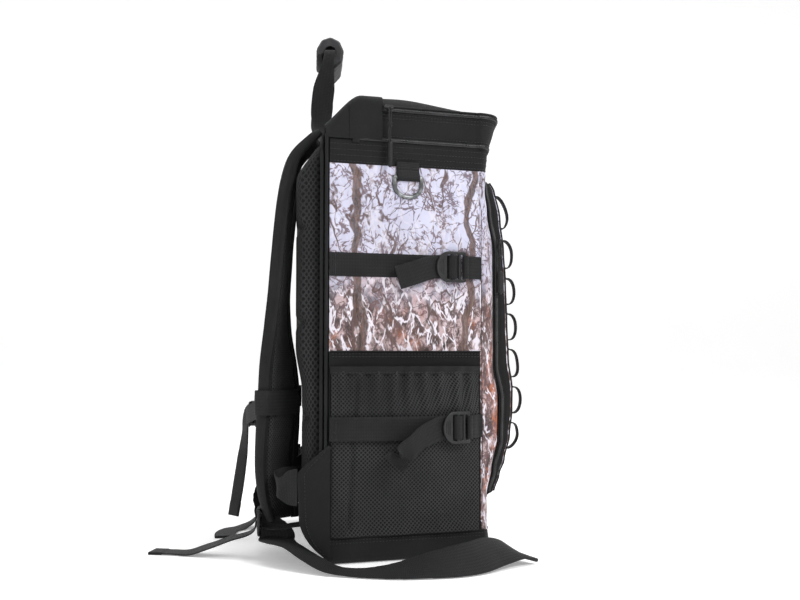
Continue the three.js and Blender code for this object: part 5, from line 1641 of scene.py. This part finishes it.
def strap_shape(shrink):
    rings = []
    outline = [(1, 0.0), (0.985, 0.45), (0.93, 0.8), (0.8, 0.96), (0.45, 1), (0, 1), (-0.45, 1), (-0.8, 0.96),
               (-0.93, 0.8), (-0.985, 0.45)]
    outline += [(-a, -b) for a, b in outline]
    for p, across, out, wide, thick, _ in strap_rows[::2]:
        ring = []
        for a, b in outline:
            ring.append(p + across * a * (wide / 2 - shrink) * MM + out * b * (thick / 2 - shrink) * MM)
        rings.append(ring)
    return rings


strap = closed_loft("shoulder_pad_left", strap_shape(1.1), STRAP_MESH)
strap = voxel_copy(strap, 4.5)
inflate(strap, 4.0, 2.2)
strap = refine(strap)
centres = [row[0] for row in strap_rows]
lengths = run_lengths(centres)


def nearest_row(co):
    """The strap row whose centre is nearest."""
    best, found = 1e9, 0
    for k in range(0, len(centres), 3):
        d = (centres[k] - co).length_squared
        if d < best:
            best, found = d, k
    for k in range(max(found - 3, 0), min(found + 4, len(centres))):
        d = (centres[k] - co).length_squared
        if d < best:
            best, found = d, k
    return found


rows_of = [nearest_row(v.co) for v in strap.data.vertices]


def strap_place(index, co):
    k = rows_of[index]
    p, across, out, wide, _, along = strap_rows[k]
    away = co - p
    return away.dot(across), lengths[k] + away.dot(along), away.dot(out), wide


flat = []
for v in strap.data.vertices:
    a, l, o, wide = strap_place(v.index, v.co)
    flat.append((a, l, 0.0))
    # sewn groove near each edge, and a faint random lumpiness all over
    groove = math.exp(-(((abs(a) / MM - (wide / 2 - 7.5)) / 1.7) ** 2))
    k = rows_of[v.index]
    out = strap_rows[k][2]
    v.co = v.co - out * math.copysign(1.0, o) * groove * 1.0 * MM
    v.co = v.co + out * 0.35 * MM * noise.noise(v.co * 30)
data = strap.data.attributes.new("cloth", "FLOAT_VECTOR", "POINT").data
data.foreach_set("vector", [c for p in flat for c in p])
strap.data.materials.append(BLACK)
for polygon in strap.data.polygons:
    k = rows_of[polygon.vertices[0]]
    polygon.material_index = 1 if polygon.normal.dot(strap_rows[k][2]) > 0.35 else 0
other = copy_mirrored(strap, "shoulder_pad_right")
for side, piece in (("left", strap), ("right", other)):
    put(piece, "pack", "mesh_fabric", f"shoulder_strap_{side}")
# Binding round both edges of a strap, and the stitching inside it
for edge_sign, edge_name in ((1, "inner"), (-1, "outer")):
    points, hints, widths = [], [], []
    for p, across, out, wide, thick, along in strap_rows[::2]:
        points.append(p + across * edge_sign * (wide / 2 - 2.2) * MM)
        hints.append(across * edge_sign)
        widths.append(thick / 2 * 0.86)
    section = [(2.9, 0.0), (2.6, 0.55), (1.4, 0.92), (-1.5, 1.0), (-3.4, 0.96), (-3.4, -0.96),
               (-1.5, -1.0), (1.4, -0.92), (2.6, -0.55)]
    section = [(a * MM, b * MM) for a, b in section]
    for side in ("left", "right"):
        made = sweep(f"strap_binding_{edge_name}_{side}", points, hints, section, BINDING,
                     scale=lambda i: (1.0, widths[i] + 0.55))
        if side == "right":
            made.data.transform(Matrix.Diagonal((-1, 1, 1, 1)))
            made.data.flip_normals()
        put(made, "pack", "black_fabric")
stations = []
for p, across, out, wide, thick, along in strap_rows[16:132:4]:
    q = (p + out * (thick / 2 + 0.7) * MM) / MM
    stations.append((*q, *across))
for side, sign in SIDES:
    made = webbing(f"strap_webbing_{side}", handed(stations, sign), STRAP_WEB, 1.3)
    put(made, "pack", "webbing")
    rows = []
    for edge_sign in (1, -1):
        for face in (1, -1):
            row = [p + across * edge_sign * (wide / 2 - 7.5) * MM + out * face * (thick / 2 - 0.6) * MM
                   for p, across, out, wide, thick, along in strap_rows[8:142]]
            rows.append(sided(row, sign))
    stitches(f"strap_stitching_{side}", rows, "pack", pitch=4.0, length=2.8, radius=0.4)

# Sternum keepers
KEEPER_LOW = 152.0
KEEPER_HIGH = 178.0


def keeper_loop(z, half_width, half_thick):
    turn = -math.radians(33.5)
    points = []
    for k in range(64):
        angle = 2 * math.pi * k / 64
        c, s = math.cos(angle), math.sin(angle)
        x = half_width * math.copysign(abs(c) ** 0.45, c)
        y = half_thick * math.copysign(abs(s) ** 0.45, s)
        plan_x = -98.2 + x * math.cos(turn) - y * math.sin(turn)
        plan_y = 139.9 + x * math.sin(turn) + y * math.cos(turn)
        points.append(V(plan_x, plan_y, z))
    return points


for side, sign in SIDES:
    grid = []
    for z in spread(KEEPER_LOW, KEEPER_HIGH, 8):
        swell = 0.3 * math.sin(math.pi * (z - KEEPER_LOW) / 26) + 0.1
        ring = keeper_loop(z, 32.0 + swell, 11.4 + swell)
        grid.append(sided(ring, sign))
    flat = []
    for z in spread(KEEPER_LOW, KEEPER_HIGH, 8):
        around = 0.0
        for k in range(64):
            flat.append(((z - KEEPER_LOW) * MM, around, 0.0))
            around += (grid[0][(k + 1) % 64] - grid[0][k]).length
    made = skin(f"keeper_{side}", grid, 1.4 * MM, WEBBING, loop=True, cloth=flat, turn=sign)
    put(made, "pack", "webbing", f"sternum_keeper_{side}")

# ---------------------------------------------------------------- buckles
def buckle_socket(name, at, width, length, thick):
    """The socket of a side release buckle: two shells, side windows, and a bar for the webbing."""
    half = width / 2
    notch = 3.2
    a, b = -length * 0.62, -length * 0.26
    outline = [(0, -half + 2), (0.6, -half + 5), (0.6, half - 5), (0, half - 2)]
    outline += [(-2.5, half - 0.4), (b, half)]
    outline += [(b - 1, half - notch), (a + 1, half - notch), (a, half)]
    outline += [(-length + 3, half - 1), (-length, half - 4)]
    outline += [(x, -y) for x, y in reversed(outline[2:])][:-2]
    clean = []
    for p in outline:
        if not clean or math.dist(p, clean[-1]) > 0.2:
            clean.append(p)
    slot = rounded(-length + 2.4, -half + 2.6, -length + 6.4, half - 2.6, 0.8, 2)
    shell = 1.7
    # the plate's own x stays x, its y becomes the width along z
    stand = Matrix.Translation(Vector(at) * MM) @ Matrix.Rotation(math.pi / 2, 4, "X")
    parts = []
    for face in (1, -1):
        shift = Matrix.Translation(Vector((0, 0, face * (thick / 2 - shell / 2))) * MM)
        parts.append(plate("shell", clean, [slot], shell, 0.5, stand @ shift, PLASTIC))
        groove = [stand @ shift @ V(x, 0, face * shell / 2) for x in spread(a, -3, 4)]
        parts.append(tube("rib", groove, 0.7 * MM, PLASTIC, sides=8))
    for face in (1, -1):
        y = face * (half - 5.2)
        block_outline = rounded(-length + 7, y - 1.2, -length * 0.64, y + 1.2, 0.6, 2)
        parts.append(plate("web", block_outline, [], thick - 2 * shell + 0.4, 0.2, stand, PLASTIC))
    for x in (-length + 1.2, -length + 7.6):
        bar = [stand @ V(x, y, 0) for y in spread(-half + 4.5, half - 4.5, 4)]
        parts.append(tube("bar", bar, (thick / 2 - 0.7) * MM * 0.55, PLASTIC, sides=12))
    return merge(name, parts)


def buckle_plug(name, at, width, length, thick):
    """The plug: a frame with two webbing slots, two sprung arms and a guide."""
    half = width / 2
    end = length * 0.62
    outline = rounded(0.6, -half, end, half, 2.2, 4)
    holes = [rounded(x0, -half + 2.6, x1, half - 2.6, 0.8, 2)
             for x0, x1 in ((end - 5.8, end - 2.2), (end - 12, end - 8.4))]
    stand = Matrix.Translation(Vector(at) * MM) @ Matrix.Rotation(math.pi / 2, 4, "X")
    parts = [plate("frame", outline, holes, thick - 1.2, 1.1, stand, PLASTIC)]
    flat_half = thick / 2 - 2.2
    reach = -length * 0.58
    for face in (1, -1):
        arm = [(1.5, face * (half - 6)), (1.5, face * (half - 2.9)), (reach * 0.4, face * (half - 2.6)),
               (reach * 0.85, face * (half - 2.6)), (reach, face * (half - 4.4)),
               (reach * 0.8, face * (half - 6)),
               (reach * 0.4, face * (half - 5.2))]
        arm = arm if face < 0 else arm[::-1]
        parts.append(plate("arm", arm, [], 2 * flat_half, 0.5, stand, PLASTIC))
    guide = rounded(reach * 0.78, -1.9, 1.5, 1.9, 0.8, 2)
    parts.append(plate("guide", guide, [], 2 * flat_half, 0.5, stand, PLASTIC))
    for x in (end - 1.2, end - 7.1):
        bar = [stand @ V(x, y, 0) for y in spread(-half + 2.2, half - 2.2, 4)]
        parts.append(tube("bar", bar, (thick / 2 - 1.6) * MM, PLASTIC, sides=12))
    return merge(name, parts)


STERNUM_AT = (4, 171.5, 147)
WAIST_AT = (8, 146, 62)
for belt, at, width, length, thick in (("sternum", STERNUM_AT, 29, 26, 9), ("waist", WAIST_AT, 46, 38, 11)):
    made = buckle_socket(f"{belt}_socket", at, width, length, thick)
    put(made, "pack", "buckle_plastic", f"{belt}_buckle_socket")
    made = buckle_plug(f"{belt}_plug_body", at, width, length, thick)
    put(made, f"{belt}_plug", "buckle_plastic", f"{belt}_buckle_plug")

up = (0, 0, 1)
made = webbing("sternum_left", [
    (-86, 151.6, 165, *up), (-66, 160, 160, *up), (-46, 167.5, 153, *up),
    (-30, 174.5, 148.5, *up), (-22, 177.2, 147, *up), (-16, 177.4, 147, *up)], 20)
put(made, "pack", "webbing", "sternum_web_left")
made = webbing("sternum_right", [
    (86, 151.6, 165, *up), (66, 160, 160, *up), (46, 166, 152, *up),
    (30, 169, 148, *up), (21, 165.6, 147, *up), (15, 165.5, 147, *up)], 20)
put(made, ("pack", "sternum_plug", V(80, 0, 0), V(24, 0, 0)), "webbing", "sternum_web_right")
made = webbing("sternum_free_end", [
    (13, 177.6, 147, *up), (22, 178.6, 146.6, 0, 0.05, 1), (28.5, 181.5, 139, 0.5, 0.2, 0.7),
    (26, 182.5, 122, 0.9, 0.4, 0), (19, 185, 95, 0.8, 0.6, 0), (12, 189, 62, 0.75, 0.65, 0),
    (8, 194, 28, 0.8, 0.6, 0)], 20, hem=(0, 16))
put(made, "sternum_plug", "webbing", "sternum_tail")


def pinch(part):
    """The belt bunches where it turns in behind the strap."""
    return 1 - 0.52 * math.exp(-(((part - 0.155) / 0.075) ** 2))


# The belt from the fin round behind the shoulder strap, alike on both sides
BELT_START = [
    (-152, 117.8, 80, *up), (-150.5, 128, 80, 0.1, 0, 1), (-145, 136.5, 80, 0.5, 0.1, 0.85),
    (-134, 138.5, 80, 0.6, 0.1, 0.8), (-122, 130, 79, 0.4, 0, 0.9), (-110, 119, 78, 0.1, 0, 1),
    (-98, 115.6, 77, *up), (-78, 115.8, 74, *up),
]
made = webbing("waist_left", BELT_START + [
    (-60, 125, 71, *up), (-44, 136, 65, *up), (-32, 139.2, 63, *up), (-24, 139.2, 62, *up)],
    BELT_WEB, widths=pinch)
put(made, "pack", "webbing", "waist_web_left")
made = webbing("waist_right", handed(BELT_START, -1) + [
    (60, 124, 70, *up), (42, 136, 64, *up), (30, 139, 62, *up), (22, 138.8, 62, *up)],
    BELT_WEB, widths=pinch)
put(made, ("pack", "waist_plug", V(90, 0, 0), V(34, 0, 0)), "webbing", "waist_web_right")

# The belt's long free end: x, y, tilt of the width off the floor in degrees, height of its low edge
BELT_TAIL = (
    (-167, 103, -8, 13.5), (-182, 83, -4, 4.5), (-191, 61, 0, 1.6), (-199, 39, 6, 1.2), (-205, 15, 15, 1.2),
    (-206, -12, 28, 1.2), (-204, -37, 38, 1.2), (-193, -61, 42, 2), (-174, -83, 38, 5), (-155, -105, 22, 7),
    (-144, -119, 4, 3),
)
stations = [
    (-12, 153.6, 62, 0, 0, 1), (-31, 159.5, 58, 0, 0.1, 1), (-47, 158, 46, 0.1, 0.5, 0.8),
    (-63, 148, 32, 0.15, 0.85, 0.45), (-86, 140, 21, 0.1, 1, 0), (-110, 140, 20.5, 0.05, 1, 0),
    (-134, 136, 22, -0.5, 0.85, 0.08), (-152, 121, 19.5, -0.85, 0.5, 0.14),
]
for i, (x, y, tilt, edge) in enumerate(BELT_TAIL):
    a = BELT_TAIL[max(i - 1, 0)]
    b = BELT_TAIL[min(i + 1, len(BELT_TAIL) - 1)]
    along = Vector((b[0] - a[0], b[1] - a[1])).normalized()
    rise, level = math.sin(math.radians(tilt)), math.cos(math.radians(tilt))
    stations.append((x, y, edge + BELT_WEB / 2 * rise, along.y * level, -along.x * level, -rise))
made = webbing("belt_free_end", stations, BELT_WEB, hem=(0, 9), hem_grow=2.6, gap=3)
put(made, "pack", "webbing", "waist_tail")

# ---------------------------------------------------------------- fins
FIN_SEAM_Y = 84.0           # the fin is sewn on along this line
FIN_LOW = ((FIN_SEAM_Y, 6), (98, 17), (108, 30), (112.5, 40), (114, 46))
FIN_CURVE_END = 0.34        # how far up the fin its rounded lower edge reaches
FIN_BACK_END = 0.76         # and its upright back edge


def fin_edge(t):
    """The fin's free edge, as (y, z), from its lowest point to its highest."""
    if t < FIN_CURVE_END:
        curve = centripetal([Vector((y, z, 0)) for y, z in FIN_LOW], 24)
        p = curve[round(t / FIN_CURVE_END * 24)]
        return p.x, p.y
    if t < FIN_BACK_END:
        k = (t - FIN_CURVE_END) / 0.42
        return lerp(114, 116, k), lerp(46, 95, k)
    k = (t - FIN_BACK_END) / 0.24
    return lerp(116, 84.5, k), lerp(95, 121.5, k)


def fin_rows():
    """Rows of (y, z, fullness) from the seam to the free edge."""
    rows = []
    for t in spread(0, 1, 24):
        edge_y, edge_z = fin_edge(t)
        tall = math.sin(math.pi * clamp(t * 0.96 + 0.02)) ** 0.6
        row = []
        for s in spread(0, 1, 12):
            wide = math.sin(math.pi * clamp(s * 0.92 + 0.06)) ** 0.6
            row.append((lerp(FIN_SEAM_Y, edge_y, s), lerp(lerp(6, 122, t), edge_z, s), wide * tall))
        rows.append(row)
    return rows


rows = fin_rows()
for side, sign in SIDES:
    grid = []
    for row in rows:
        line = []
        for y, z, full in row:
            out = 1.2 * full + 0.5 * full * ripple(y, z, 5, 16)
            line.append(V(sign * (-BACK_HALF - 3.4 - out), y, z))
        grid.append(line)
    made = skin(f"wing_{side}", grid, 3.2 * MM, BLACK, turn=-sign)
    put(made, "pack", "black_fabric", f"fin_{side}")
    rim = [V(sign * (-BACK_HALF - 2.0), row[-1][0] + 0.4, row[-1][1]) for row in rows]
    put(tube(f"wing_piping_{side}", rim, 1.7 * MM, BINDING), "pack", "black_fabric")
    inner = [V(sign * (-BACK_HALF - 4.3), row[10][0], row[10][1]) for row in rows[1:-1]]
    stitches(f"wing_stitching_{side}", [inner], "pack")

# ---------------------------------------------------------------- shoulder webbing and its ladder locks
RISE = [
    (-122, 92, 38, 1, 0, 0), (-121, 104, 38.5, 1, 0, 0), (-117, 117, 37, 1, 0, 0),
    (-109, 134, 33.4, 1, 0.1, 0), (-103, 147, 32.6, 1, 0.05, 0), (-101.2, 153.6, 34, 1, 0, 0),
    (-101, 155.7, 36.6, 1, 0, 0), (-101, 155.8, 38.6, 1, 0, 0), (-101, 156.6, 40.6, 1, 0, 0),
    (-101, 158.6, 41.2, 1, 0, 0),
]
OVER_BAR = [
    (-101, 158.6, 41.2, 1, 0, 0), (-101, 160.8, 40.6, 1, 0, 0), (-101, 161.6, 38.6, 1, 0, 0),
    (-101, 161.9, 36, 1, 0, 0),
]
FALLS = {
    "left": [
        (-101, 163, 31, 1, 0, 0), (-99.5, 169, 26, 1, 0, 0),
        (-94, 190, 19, 1, 0.1, 0), (-86, 213, 10, 1, 0.15, 0), (-76, 235, 2.5, 1, 0.2, 0),
        (-68, 255, 1.4, 1, 0.2, 0), (-63, 276, 1.4, 1, 0.1, 0)],
    "right": [
        (-101, 162.6, 29, 1, 0, 0), (-100, 166, 20, 1, 0, 0),
        (-96, 176, 8, 1, -0.1, 0), (-86, 190, 1.6, 0.9, -0.4, 0), (-68, 202, 1.4, 0.6, -0.8, 0),
        (-45, 206, 1.4, 0.2, -1, 0), (-20, 204, 1.4, 0, -1, 0)],
}
# from the strap's lower end round the lock's top bar and back
SLING = [(-101, y, z, 1, 0, 0) for y, z in (
    (146, 62), (151, 58), (155.5, 53.6), (158.6, 52.6), (161.2, 50.6),
    (160.0, 47.9), (157.6, 47.9), (153.5, 51.5), (149, 55.5), (145, 58),
)]
stand = Matrix.Translation(V(-101, 158.6, 38)) @ Matrix.Rotation(-math.pi / 2, 4, "X")
lock = lock_piece("lock_shoulder_left", STRAP_WEB, 28, stand)
for side, sign in SIDES:
    name = f"shoulder_{side}"
    made = webbing(f"web_rise_{side}", handed(RISE, sign), STRAP_WEB, gap=1.5)
    ends = (V(sign * -110, 125, 35), V(sign * -101, 152, 35))
    put(made, ("pack", f"lock_{name}", *ends), "webbing", f"shoulder_web_{side}")
    made = webbing(f"web_fall_{side}", handed(OVER_BAR + FALLS[side], sign), STRAP_WEB, gap=2.0, hem=(0, 14))
    ends = (V(sign * -94, 196, 16), V(sign * -101, 163, 33))
    put(made, ("pack", f"lock_{name}", *ends), "webbing")
    made = lock if sign > 0 else copy_mirrored(lock, f"lock_shoulder_{side}")
    put(made, f"lock_{name}", "buckle_plastic", f"ladder_lock_{name}")
    made = webbing(f"sling_{side}", handed(SLING, sign), STRAP_WEB - 1, 1.3, gap=1.4)
    put(made, "pack", "webbing")

# ---------------------------------------------------------------- grab handle
LEG = (
    (-29, 94.5, 455, 1, 0, 25, 1.8), (-30, 95, 468, 1, 0.15, 25, 1.8), (-32, 95, 482, 0.75, 0.65, 25, 1.8),
    (-35, 94, 497, 0.3, 0.95, 25, 1.8), (-40, 91.5, 520, 0, 1, 25, 1.8), (-45, 88, 543, 0, 1, 17, 2.6),
    (-47, 85.5, 557, 0, 1, 13, 3.4), (-44.5, 84.3, 566, 0, 1, 13, 3.4), (-37, 84, 568.5, 0, 1, 13, 3.4),
    (-12, 84, 569, 0, 1, 13, 3.4),
)
whole = list(LEG) + [(-x, y, z, -a, b, w, t) for x, y, z, a, b, w, t in reversed(LEG)]
at = [V(*s[:3]) for s in whole]
fine = 12 * (len(at) - 1)
points = centripetal(at, fine)
hints = centripetal([Vector((s[3], s[4], 0)) for s in whole], fine)
sizes = centripetal([Vector((s[5], s[6], 0)) for s in whole], fine)
made = sweep("handle_webbing", points, [h.normalized() for h in hints], web_section(MM, MM), WEBBING, "flat",
             scale=lambda i: (sizes[i].x, sizes[i].y))
data = made.data.attributes["cloth"].data
size = len(web_section(1, 1))
for k, item in enumerate(data):
    u, v, w = item.vector
    item.vector = (u * sizes[k // size].x, v, w)
put(made, "handle", "webbing", "grab_handle_web")
GRIP_HALF = 40.0


def grip_section(x):
    """A thick C round the webbing, open towards the wearer and down, with creases round it."""
    outer, inner = [], []
    taper = 1 - 0.16 * step(GRIP_HALF - 6, GRIP_HALF, abs(x))
    for t in spread(0, 1, 40):
        angle = math.radians(lerp(-10, 262, t))
        crease = 0.45 * math.sin(angle * 9 + 0.5 * math.sin(x * 0.21)) + 0.5 * ripple(x, angle * 9, 3, 9)
        radius_y, radius_z = 15.6 * taper + crease * 0.8, 18.4 * taper + crease * 0.8
        outer.append((radius_y * math.cos(angle), radius_z * math.sin(angle)))
        inner.append(((radius_y - 6.0) * math.cos(angle), (radius_z - 8.6) * math.sin(angle)))
    return outer + inner[::-1]


rings = []
for x in spread(-GRIP_HALF, GRIP_HALF, 44):
    rings.append([V(x, 84 + a, 567.6 + b) for a, b in grip_section(x)])
made = closed_loft("grip_roll", rings, VINYL)
flat = []
size = len(rings[0])
for i in range(len(rings)):
    flat += [(i * 0.0018, k * 0.0024, 0.0) for k in range(size)]
data = made.data.attributes.new("cloth", "FLOAT_VECTOR", "POINT").data
data.foreach_set("vector", [c for p in flat for c in p])
made.data.set_sharp_from_angle(angle=math.radians(55))
put(made, "handle", "grip_vinyl", "grab_handle_grip")

# ---------------------------------------------------------------- zip sliders and pulls
def slider_piece(name, matrix, length, height, thick):
    """Local x is towards the bag, y along the zip, z across it; the bail stands off on -x."""
    parts = []
    lay = matrix @ Matrix.Rotation(math.pi / 2, 4, "Y")
    along_z = height > length
    a, b = height / 2, length / 2
    shape = [(a, -b * 0.7), (a * 0.72, -b), (-a * 0.72, -b), (-a, -b * 0.7),
             (-a, b * 0.7), (-a * 0.72, b), (a * 0.72, b), (a, b * 0.7)]
    for face in (-1, 1):
        shift = Matrix.Translation(V(0, 0, face * (thick / 2 - 0.55)))
        parts.append(plate("wing", shape[::-1], [], 1.1, 0.35, lay @ shift, ENAMEL))
    core = rounded(-a * 0.8, -b * 0.35, a * 0.8, b * 0.35, 0.6, 2)
    parts.append(plate("core", core, [], thick - 1.2, 0.2, lay, ENAMEL))
    reach = (height if along_z else length) / 2 - 1.2
    top = -thick / 2 - 1.5
    foot = -thick / 2 + 0.3
    route = [(foot, -reach), (top, -reach * 0.75), (top, reach * 0.75), (foot, reach)]
    line = centripetal([matrix @ (V(x, 0, t) if along_z else V(x, t, 0)) for x, t in route], 18)
    parts.append(tube("bail", line, 0.75 * MM, ENAMEL, sides=10))
    return merge(name, parts)


def pull_piece(name, matrix, cord_length, tube_length, out):
    """A doubled cord through the bail, knotted, into a moulded grip."""
    parts = []
    for edge in (1, -1):
        route = [(-out + 0.2, 0, 0.9), (-out - 0.1, edge * 1.1, -1.0),
                 (-out, edge * 1.0, -cord_length * 0.22), (-out, edge * 0.7, -cord_length * 0.45),
                 (-out + 0.3, edge * 0.95 + 0.7, -cord_length * 0.7), (-out, edge * 0.75, -cord_length - 2)]
        line = centripetal([matrix @ V(*p) for p in route], 40)
        parts.append(tube("strand", line, 0.72 * MM, BRAID, sides=10))
    loop = [matrix @ V(-out + 0.4 * math.cos(a), 1.1 * math.cos(a), -0.4 + 1.5 * math.sin(a))
            for a in [math.pi * k / 10 for k in range(11)]]
    parts.append(tube("eye", loop, 0.72 * MM, BRAID, sides=10))
    middle = -cord_length * 0.45
    knot = []
    for k in range(49):
        a = 2 * math.pi * k / 24
        rise = middle + 1.5 * math.sin(a / 2) + 0.5 * math.cos(a)
        knot.append(matrix @ V(-out + 1.25 * math.sin(a), 1.7 * math.cos(a), rise))
    parts.append(tube("knot", knot, 0.72 * MM, BRAID, sides=10))
    top = -cord_length + 1
    line = []
    radii = []
    for t in spread(0, 1, 30):
        line.append(matrix @ V(-out, 0, top - tube_length * t))
        ring = 0.22 * math.sin(t * 62) * step(0.25, 0.35, t) * step(0.95, 0.85, t)
        end = min(step(-0.02, 0.07, t), step(1.02, 0.9, t))
        radii.append((3.2 - 0.35 * t + ring) * (0.45 + 0.55 * end))
    parts.append(tube("grip", line, MM, PULL, sides=18, scale=lambda i: (radii[i], radii[i])))
    return merge(name, parts)


def side_matrix(y, z, out):
    """A place out millimetres off the left side, turned to face along it."""
    return Matrix.Translation(beside(1, y, out, z)) @ Matrix.Rotation(SLOPE, 4, "Z")


def moved_across(piece, name):
    """The piece on the right side instead of the left."""
    made = copy_mirrored(piece, name)
    bpy.data.objects.remove(piece)
    return made


LID_SLIDER_Y = 24
MAIN_SLIDER_Y = 46
LID_SLIDER_OUT = 3.6
MAIN_SLIDER_OUT = 4.4
PULL_REACH = 5.0
POCKET_SLIDER = (-99.6, -102.4, 338)


made = slider_piece("lid_slider_body", side_matrix(LID_SLIDER_Y, LID_TOP, LID_SLIDER_OUT), 11, 7, 3.4)
put(made, "lid_slider", "zip_metal", "lid_zip_slider")
made = pull_piece("lid_pull_cord", side_matrix(LID_SLIDER_Y, LID_TOP - 1, LID_SLIDER_OUT), 37, 27, PULL_REACH)
put(made, "lid_pull", "pull_cord", "lid_zip_pull")
place = side_matrix(MAIN_SLIDER_Y, ZIP_Z, MAIN_SLIDER_OUT)
made = moved_across(slider_piece("spare", place, 11, 7, 3.4), "main_slider_body")
put(made, "main_slider", "zip_metal", "main_zip_slider")
place = side_matrix(MAIN_SLIDER_Y, ZIP_Z - 1, MAIN_SLIDER_OUT)
made = moved_across(pull_piece("spare", place, 10, 9, PULL_REACH), "main_pull_cord")
put(made, "main_pull", "pull_cord", "main_zip_pull")
made = slider_piece("pocket_slider_body", Matrix.Translation(V(*POCKET_SLIDER)), 7, 11, 3.4)
put(made, "pocket_slider", "zip_metal", "pocket_zip_slider")
x, y, z = POCKET_SLIDER
made = pull_piece("pocket_pull_cord", Matrix.Translation(V(x, y, z - 1)), 30, 26, PULL_REACH)
put(made, "pocket_pull", "pull_cord", "pocket_zip_pull")

# ---------------------------------------------------------------- floor and light
FLOOR = Look("floor")
tone = FLOOR.noise(FLOOR.place(), 3, 2)
floor_material = FLOOR.finish(FLOOR.mix(tone, (0.93, 0.93, 0.93), (0.96, 0.96, 0.96)), 0.9, specular=0.1)
FLOOR.shader.inputs["Emission Color"].default_value = (1, 1, 1, 1)
FLOOR.shader.inputs["Emission Strength"].default_value = 0.28
# The floor and the wall behind it, in metres, joined by a rounded cove
back, side_reach, up_reach = 6.0, 8.0, 5.0
COVE = 1.2
section = [(-4.0, 0.0), (back - COVE, 0.0)]
for degrees in range(10, 91, 10):
    a = math.radians(degrees)
    section.append((back - COVE + COVE * math.sin(a), COVE - COVE * math.cos(a)))
section += [(back, up_reach)]
verts, faces = [], []
for x, z in section:
    verts += [Vector((x, -side_reach, z - 0.0004)), Vector((x, side_reach, z - 0.0004))]
for i in range(len(section) - 1):
    faces.append((2 * i, 2 * i + 2, 2 * i + 3, 2 * i + 1))
sweep_floor = make("floor", verts, faces, floor_material)

world = bpy.data.worlds.new("world")
bpy.context.scene.world = world
world.use_nodes = True
world.node_tree.nodes["Background"].inputs["Color"].default_value = (1, 1, 1, 1)
world.node_tree.nodes["Background"].inputs["Strength"].default_value = 0.6


def area_light(name, at, target, size, power):
    data = bpy.data.lights.new(name, "AREA")
    data.shape = "RECTANGLE"
    data.size, data.size_y = size
    data.energy = power
    lamp = bpy.data.objects.new(name, data)
    lamp.location = at
    lamp.rotation_euler = (Vector(target) - Vector(at)).to_track_quat("-Z", "Y").to_euler()
    bpy.context.scene.collection.objects.link(lamp)


area_light("key", (-1.7, -1.5, 1.9), (0, 0, 0.25), (1.1, 0.8), 42)
area_light("top", (0.2, -0.2, 2.3), (0, 0, 0.2), (1.8, 1.8), 26)
area_light("fill", (-1.6, 1.7, 1.1), (0, 0, 0.25), (1.4, 1.4), 7)
bpy.context.scene.view_settings.view_transform = "Standard"
